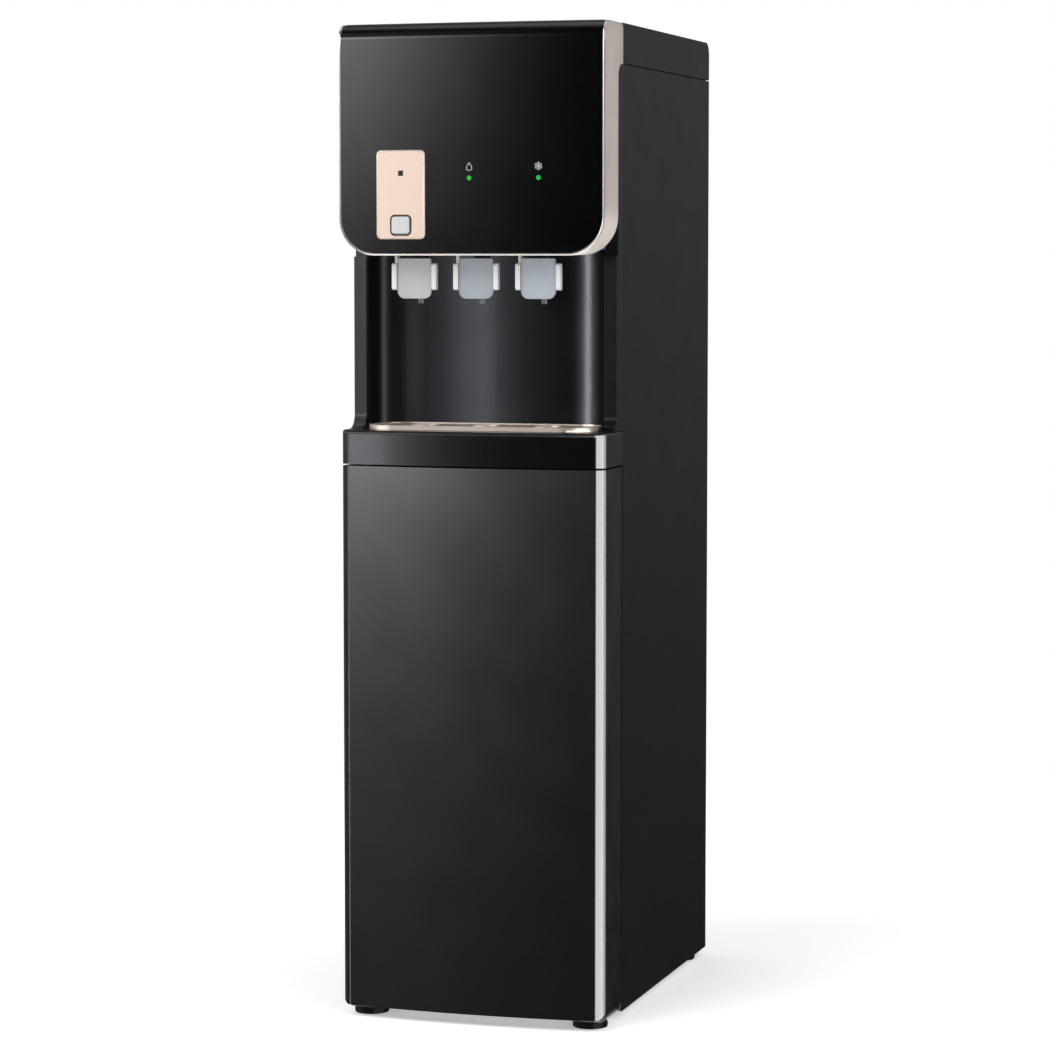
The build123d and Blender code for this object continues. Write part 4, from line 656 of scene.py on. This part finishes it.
# A lighter copy of the champagne for the bead round the rose plate: a painted highlight on the plate's edge.
rim_highlight_finish = champagne("rose_edge_painted_highlight", (0.98, 0.86, 0.78), 0.30)
own_finishes = {
    "head_front_panel": deep_gloss(),
    "shelf_front_band": front_sheet("shelf_band_black", 0.14, 1.35),
    "alcove_liner": liner_plastic(),
    "tap_paddle_left": grey_satin("silver_grey_plastic", (0.50, 0.50, 0.52)),
    "tap_paddle_middle": grey_satin("cool_grey_plastic", (0.37, 0.405, 0.445)),
    "tap_paddle_right": grey_satin("pale_blue_grey_plastic", (0.42, 0.465, 0.515)),
    "top_cover": finishes["black_steel"],
}
print("finishes:", len(finishes), "by slot, and", len(own_finishes), "nodes with their own")

# %% [markdown]
# ## Dressing the nodes
#
# The record names a material slot for each node, and nodes of one slot share a finish, as parts made of one
# material do. A few nodes get a finish of their own instead, because their gloss or tint differs in the
# picture: the head's panel, the inlay of the shelf, the liner of the alcove and the three paddles. The roof
# takes the paint of the side panels, so that it reads as one cabinet with them.

# %% Dress the CAD nodes


def dress(node, finish):
    """Gives every material slot of a CAD node the finish."""
    slots = frame["nodes"][node].material_slots
    for slot in slots:
        slot.material = finish.material


slot_of = {part["node"]: part["material_slot"] for part in frame["record"]["subparts"]}
for node, slot in slot_of.items():
    if slot in finishes:
        dress(node, finishes[slot])
for node, finish in own_finishes.items():
    dress(node, finish)
print("dressed", len(slot_of), "nodes")

# %% [markdown]
# ## Beads
#
# Many small forms of the machine are a round bead along a line: the polished lip of the head, the rim of
# the rose plate, the ring round each dish of the grid, the grip ribs of the feet and the printed icons.
# They could be modelled one by one, but one Geometry Nodes tree makes them all: it turns the edges of a
# mesh into curves and sweeps a circle along them. The lines themselves are worked out from the frame, and
# points that must lie on a bowed panel are dropped onto it by a ray, so no piece floats.

# %% The bead tree
SWEEP = bpy.data.node_groups.new("bead_along_edges", "GeometryNodeTree")
SWEEP_INPUTS = {}
for label, kind in (("Lines", "Geometry"), ("Radius", "Float"), ("Sides", "Int"), ("Finish", "Material")):
    made = SWEEP.interface.new_socket(label, in_out="INPUT", socket_type="NodeSocket" + kind)
    SWEEP_INPUTS[label] = made.identifier
SWEEP.interface.new_socket("Bead", in_out="OUTPUT", socket_type="NodeSocketGeometry")
bench = Sheet(SWEEP)
given = SWEEP.nodes.new("NodeGroupInput")
lines, radius, sides, finish = (Wire(bench, given.outputs[name]) for name in SWEEP_INPUTS)
route = bench.node("GeometryNodeMeshToCurve", None, {"Mesh": lines})
circle_inputs = {"Resolution": sides, "Radius": radius}
section = bench.node("GeometryNodeCurvePrimitiveCircle", {"mode": "RADIUS"}, circle_inputs)
tube_inputs = {"Curve": route, "Profile Curve": section, "Fill Caps": True}
tube = bench.node("GeometryNodeCurveToMesh", None, tube_inputs)
soft = bench.node("GeometryNodeSetShadeSmooth", None, {0: tube})
real = bench.node("GeometryNodeRealizeInstances", None, {0: soft})
painted = bench.node("GeometryNodeSetMaterial", None, {"Geometry": real, "Material": finish})
bench.node("NodeGroupOutput", None, {0: painted})
print("tree:", SWEEP.name, "inputs:", list(SWEEP_INPUTS))

# %% Making a bead piece


def bead(name, routes, radius, finish, body, sides=10):
    """One plain mesh: a round bead along every route. A route is (points, closed)."""
    plan = bpy.data.meshes.new(name + "_plan")
    points, edges = [], []
    for route, closed in routes:
        first = len(points)
        points += [tuple(point) for point in route]
        edges += [(first + i, first + i + 1) for i in range(len(route) - 1)]
        if closed:
            edges.append((len(points) - 1, first))
    plan.from_pydata(points, edges, [])
    holder = bpy.data.objects.new(name + "_plan", plan)
    bpy.context.scene.collection.objects.link(holder)
    sweep = holder.modifiers.new("sweep", "NODES")
    sweep.node_group = SWEEP
    sweep[SWEEP_INPUTS["Radius"]] = radius
    sweep[SWEEP_INPUTS["Sides"]] = sides
    sweep[SWEEP_INPUTS["Finish"]] = finish.material
    shape = bpy.data.meshes.new_from_object(holder.evaluated_get(bpy.context.evaluated_depsgraph_get()))
    bpy.data.objects.remove(holder)
    work = bmesh.new()
    work.from_mesh(shape)
    bmesh.ops.recalc_face_normals(work, faces=work.faces)
    work.to_mesh(shape)
    work.free()
    piece = bpy.data.objects.new(name, shape)
    bpy.context.scene.collection.objects.link(piece)
    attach(piece, body)
    print(name, len(shape.polygons), "faces")
    return piece


def skin_of(node):
    """A search tree over a CAD node's surface."""
    mesh = frame["nodes"][node].data
    points = [vertex.co.copy() for vertex in mesh.vertices]
    return BVHTree.FromPolygons(points, [list(face.vertices) for face in mesh.polygons])


def dropped(skin, x, z, side=-1):
    """The point of a surface at (x, z), seen from the front or, with side 1, from behind."""
    return skin.ray_cast(Vector((x, side * 1.0, z)), Vector((0, -side, 0)))[0]


def arc(x, z, radius, start_deg, end_deg, steps):
    """Points of an arc in the front plane."""
    turns = [math.radians(start_deg + (end_deg - start_deg) * i / steps) for i in range(steps + 1)]
    return [(x + radius * math.cos(t), z + radius * math.sin(t)) for t in turns]


def ring_at(x, y, z, radius, steps=48):
    """Points of a level circle."""
    turns = [2 * math.pi * i / steps for i in range(steps)]
    return [(x + radius * math.cos(t), y + radius * math.sin(t), z) for t in turns]


def middle(low, high):
    """The middle of a box."""
    return (low + high) / 2


def rounded_frame(x, z, width, height, radius, steps=8):
    """Outline of a rounded rectangle in the front plane, counter-clockwise."""
    a, b = width / 2 - radius, height / 2 - radius
    corners = [(x + a, z + b, 0), (x - a, z + b, 90), (x - a, z - b, 180), (x + a, z - b, 270)]
    return [point for u, v, turn in corners for point in arc(u, v, radius, turn, turn + 90, steps)]


print("bead helpers are ready")

# %% [markdown]
# ## The bright lip of the head
#
# On the real machine the champagne surround ends in a polished lip all round the black panel. Its round
# section is what makes it flash: somewhere on it there is always a line that mirrors the pale floor or the
# bright wall. A flat edge would need a lamp in one exact place, so the lip is a bead along the front edge
# of the surround. A low card in front of the machine, tilted up, adds the light that the lower edge of the
# lip shows.

# %% Lip of the head
LIP_RADIUS = 0.00125
LIP_SINK = 0.0005
HEAD_CORNER = 0.040
HEAD_ROLL = 0.010
head_low, head_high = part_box("head_trim_band")
lip_half = head_high.x - LIP_RADIUS
lip_corner = HEAD_CORNER - LIP_RADIUS
lip_bottom = head_low.z + HEAD_CORNER
lip_top = head_high.z - HEAD_ROLL
rise_steps, run_steps = 10, 14
left_up = [(-lip_half, lip_top + (lip_bottom - lip_top) * i / rise_steps) for i in range(rise_steps)]
left_turn = arc(-lip_half + lip_corner, lip_bottom, lip_corner, 180, 270, 16)
run = lip_half - lip_corner
along = [(-run + 2 * run * i / run_steps, lip_bottom - lip_corner) for i in range(1, run_steps)]
left_side = left_up + left_turn
right_side = [(-x, z) for x, z in reversed(left_side)]
trim_skin = skin_of("head_trim_band")
sink = Vector((0, LIP_SINK, 0))
lip = [dropped(trim_skin, x, z) + sink for x, z in left_side + along + right_side]
head_lip = bead("head_lip", [(lip, False)], LIP_RADIUS, lip_shaded_finish, "cabinet", sides=16)
card("lip_card", (0.0, -0.75, 0.15), 0, (1.6, 0.9), 3.2, [head_lip], elevation_deg=-50)

# %% [markdown]
# ## Plate, button and icons
#
# The rose plate has a bead round its edge in a champagne lighter than the plate, a painted highlight for the
# line of light its edge catches, and the push button sits in a narrow black collar.
# Beside it the panel carries two small printed icons over the two lights: a drop for plain water and a snow
# crystal for cold water. Printing is far too thin to model in CAD, so each stroke is a very fine white
# bead, half sunk into the panel.

# %% Rim and collar
RIM_RADIUS = 0.0005
RIM_CORNER = 0.0045
plate_low, plate_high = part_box("control_plate")
plate_middle, plate_size = middle(plate_low, plate_high), plate_high - plate_low
plate_skin = skin_of("control_plate")
inset = 3 * RIM_RADIUS
rim = rounded_frame(plate_middle.x, plate_middle.z, plate_size.x - inset, plate_size.z - inset, RIM_CORNER)
rim = [dropped(plate_skin, x, z) for x, z in rim]
# The rim's pale colour is a painted highlight along the plate's edge.
bead("plate_rim", [(rim, True)], RIM_RADIUS, rim_highlight_finish, "cabinet", sides=8)

COLLAR_RADIUS = 0.00045
COLLAR_GAP = 0.0016
COLLAR_CORNER = 0.0048
BUTTON_FLANGE = 0.0025
button_low, button_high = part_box("lock_button")
button_middle, button_size = middle(button_low, button_high), button_high - button_low
spread = 2 * (COLLAR_GAP - BUTTON_FLANGE)
collar = rounded_frame(button_middle.x, button_middle.z, button_size.x + spread, button_size.z + spread,
                       COLLAR_CORNER)
collar = [dropped(plate_skin, x, z) for x, z in collar]
bead("button_collar", [(collar, True)], COLLAR_RADIUS, finishes["gloss_black"], "cabinet")

# %% Icons
STROKE = 0.00028
ICON_Z = 0.9008
LENS_RADIUS = 0.0025
DROP_WIDTH, DROP_REACH, DROP_POINT, DROP_STEPS = 0.0042, 0.0040, 1.5, 28
CRYSTAL_REACH, CRYSTAL_KNOT, CRYSTAL_TWIG, TWIG_TURN = 0.0043, 0.0026, 0.0015, 55
light_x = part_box("indicator_lenses")[1].x - LENS_RADIUS
panel_skin = skin_of("head_front_panel")


def printed(name, strokes):
    """An icon of fine white strokes, each a list of (x, z) points, laid on the panel."""
    routes = [([dropped(panel_skin, x, z) for x, z in stroke], closed) for stroke, closed in strokes]
    return bead(name, routes, STROKE, finishes["white_plastic"], "cabinet", sides=6)


def spoke(start, length, turn_deg):
    """The end of a line in the front plane that leaves start at the given turn."""
    t = math.radians(turn_deg)
    return start[0] + length * math.cos(t), start[1] + length * math.sin(t)


turns = [2 * math.pi * i / DROP_STEPS for i in range(DROP_STEPS)]
drop = [(DROP_WIDTH * math.sin(t) * math.sin(t / 2) ** DROP_POINT, ICON_Z + DROP_REACH * math.cos(t))
        for t in turns]
printed("water_drop_icon", [(drop, True)])
crystal = []
heart = (light_x, ICON_Z)
for turn_deg in range(90, 450, 60):
    knot = spoke(heart, CRYSTAL_KNOT, turn_deg)
    crystal.append(([heart, spoke(heart, CRYSTAL_REACH, turn_deg)], False))
    for twig in (-TWIG_TURN, TWIG_TURN):
        crystal.append(([knot, spoke(knot, CRYSTAL_TWIG, turn_deg + twig)], False))
printed("snow_crystal_icon", crystal)

# %% [markdown]
# ## Rings, ribs and marks
#
# The dishes of the tray grid have a raised ring that catches the light, each filter cartridge wears two
# coloured rings so that it goes back into its own head, the feet have grip ribs for the fingers, and the
# rear switches a bar and a circle. All of them repeat, so each is a short loop over the places that the
# frame gives.

# %% Rings of the grid and of the cartridges
DISH_RING, DISH_BEAD = 0.0148, 0.0007
GRID_FLOOR_DROP = 0.0010
STAGE_BEAD, STAGE_SINK = 0.0009, 0.0012
STAGE_DROP, STAGE_STEP = 0.030, 0.006
RING_COLOURS = ((0.03, 0.16, 0.45), (0.02, 0.30, 0.34), (0.10, 0.34, 0.10), (0.30, 0.31, 0.33))

grid_low, grid_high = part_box("tray_grid")
dish_y, dish_z = middle(grid_low, grid_high).y, grid_high.z - GRID_FLOOR_DROP
tap_xs = [middle(*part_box("tap_paddle_" + side)).x for side in ("left", "middle", "right")]
rings = [(ring_at(x, dish_y, dish_z, DISH_RING), True) for x in tap_xs]
bead("grid_dish_rings", rings, DISH_BEAD, finishes["bronze_grid"], "grid")

for number, colour in enumerate(RING_COLOURS, start=1):
    low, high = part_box("filter_cartridge_%d" % number)
    axis = middle(low, high)
    radius = (high.x - low.x) / 2 - STAGE_SINK
    ring_finish = Finish("stage_ring_%d" % number, colour, 0.35)
    ring_finish.shade(ring_finish.noise(0.004), 0.10)
    ring_finish.uneven(ring_finish.noise(0.002), 0.05)
    heights = [high.z - STAGE_DROP - STAGE_STEP * i for i in range(2)]
    rings = [(ring_at(axis.x, axis.y, z, radius), True) for z in heights]
    bead("stage_rings_%d" % number, rings, STAGE_BEAD, ring_finish, "filter_%d" % number)

# %% Ribs of the feet
RIB_COUNT = 28
RIB_BEAD = 0.0006
RIB_LOW, RIB_HIGH = 0.0012, 0.0052
for corner_name in ("front_left", "front_right", "rear_left", "rear_right"):
    low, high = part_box("foot_" + corner_name)
    axis, reach = middle(low, high), (high.x - low.x) / 2
    feet = ring_at(axis.x, axis.y, RIB_LOW, reach, RIB_COUNT)
    ribs = [([(x, y, z), (x, y, RIB_HIGH)], False) for x, y, z in feet]
    bead("foot_ribs_" + corner_name, ribs, RIB_BEAD, finishes["black_plastic"],
         "foot_body_" + corner_name, sides=8)

# %% Marks of the switches
MARK_STROKE = 0.0002
BAR_LOW, BAR_HIGH = 0.0030, 0.0055
MARK_DROP, MARK_RADIUS = 0.0042, 0.0013
for switch in ("hot", "cold"):
    spot = middle(*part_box("rocker_" + switch))
    rocker_skin = skin_of("rocker_" + switch)
    bar = [(spot.x, spot.z + BAR_LOW), (spot.x, spot.z + BAR_HIGH)]
    ring = arc(spot.x, spot.z - MARK_DROP, MARK_RADIUS, 0, 345, 20)
    marks = ((bar, False), (ring, True))
    routes = [([dropped(rocker_skin, x, z, 1) for x, z in line], closed) for line, closed in marks]
    bead("rocker_marks_" + switch, routes, MARK_STROKE, finishes["white_plastic"],
         "switch_" + switch, sides=6)

# %% [markdown]
#
# The made pieces must stay inside the box of the CAD model, so that the dressed machine still fits where the
# plain one does. The box round all shown pieces, CAD nodes and made pieces together, is measured and printed.

low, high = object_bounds()
print("visual box:", [round(v, 4) for v in low], [round(v, 4) for v in high])
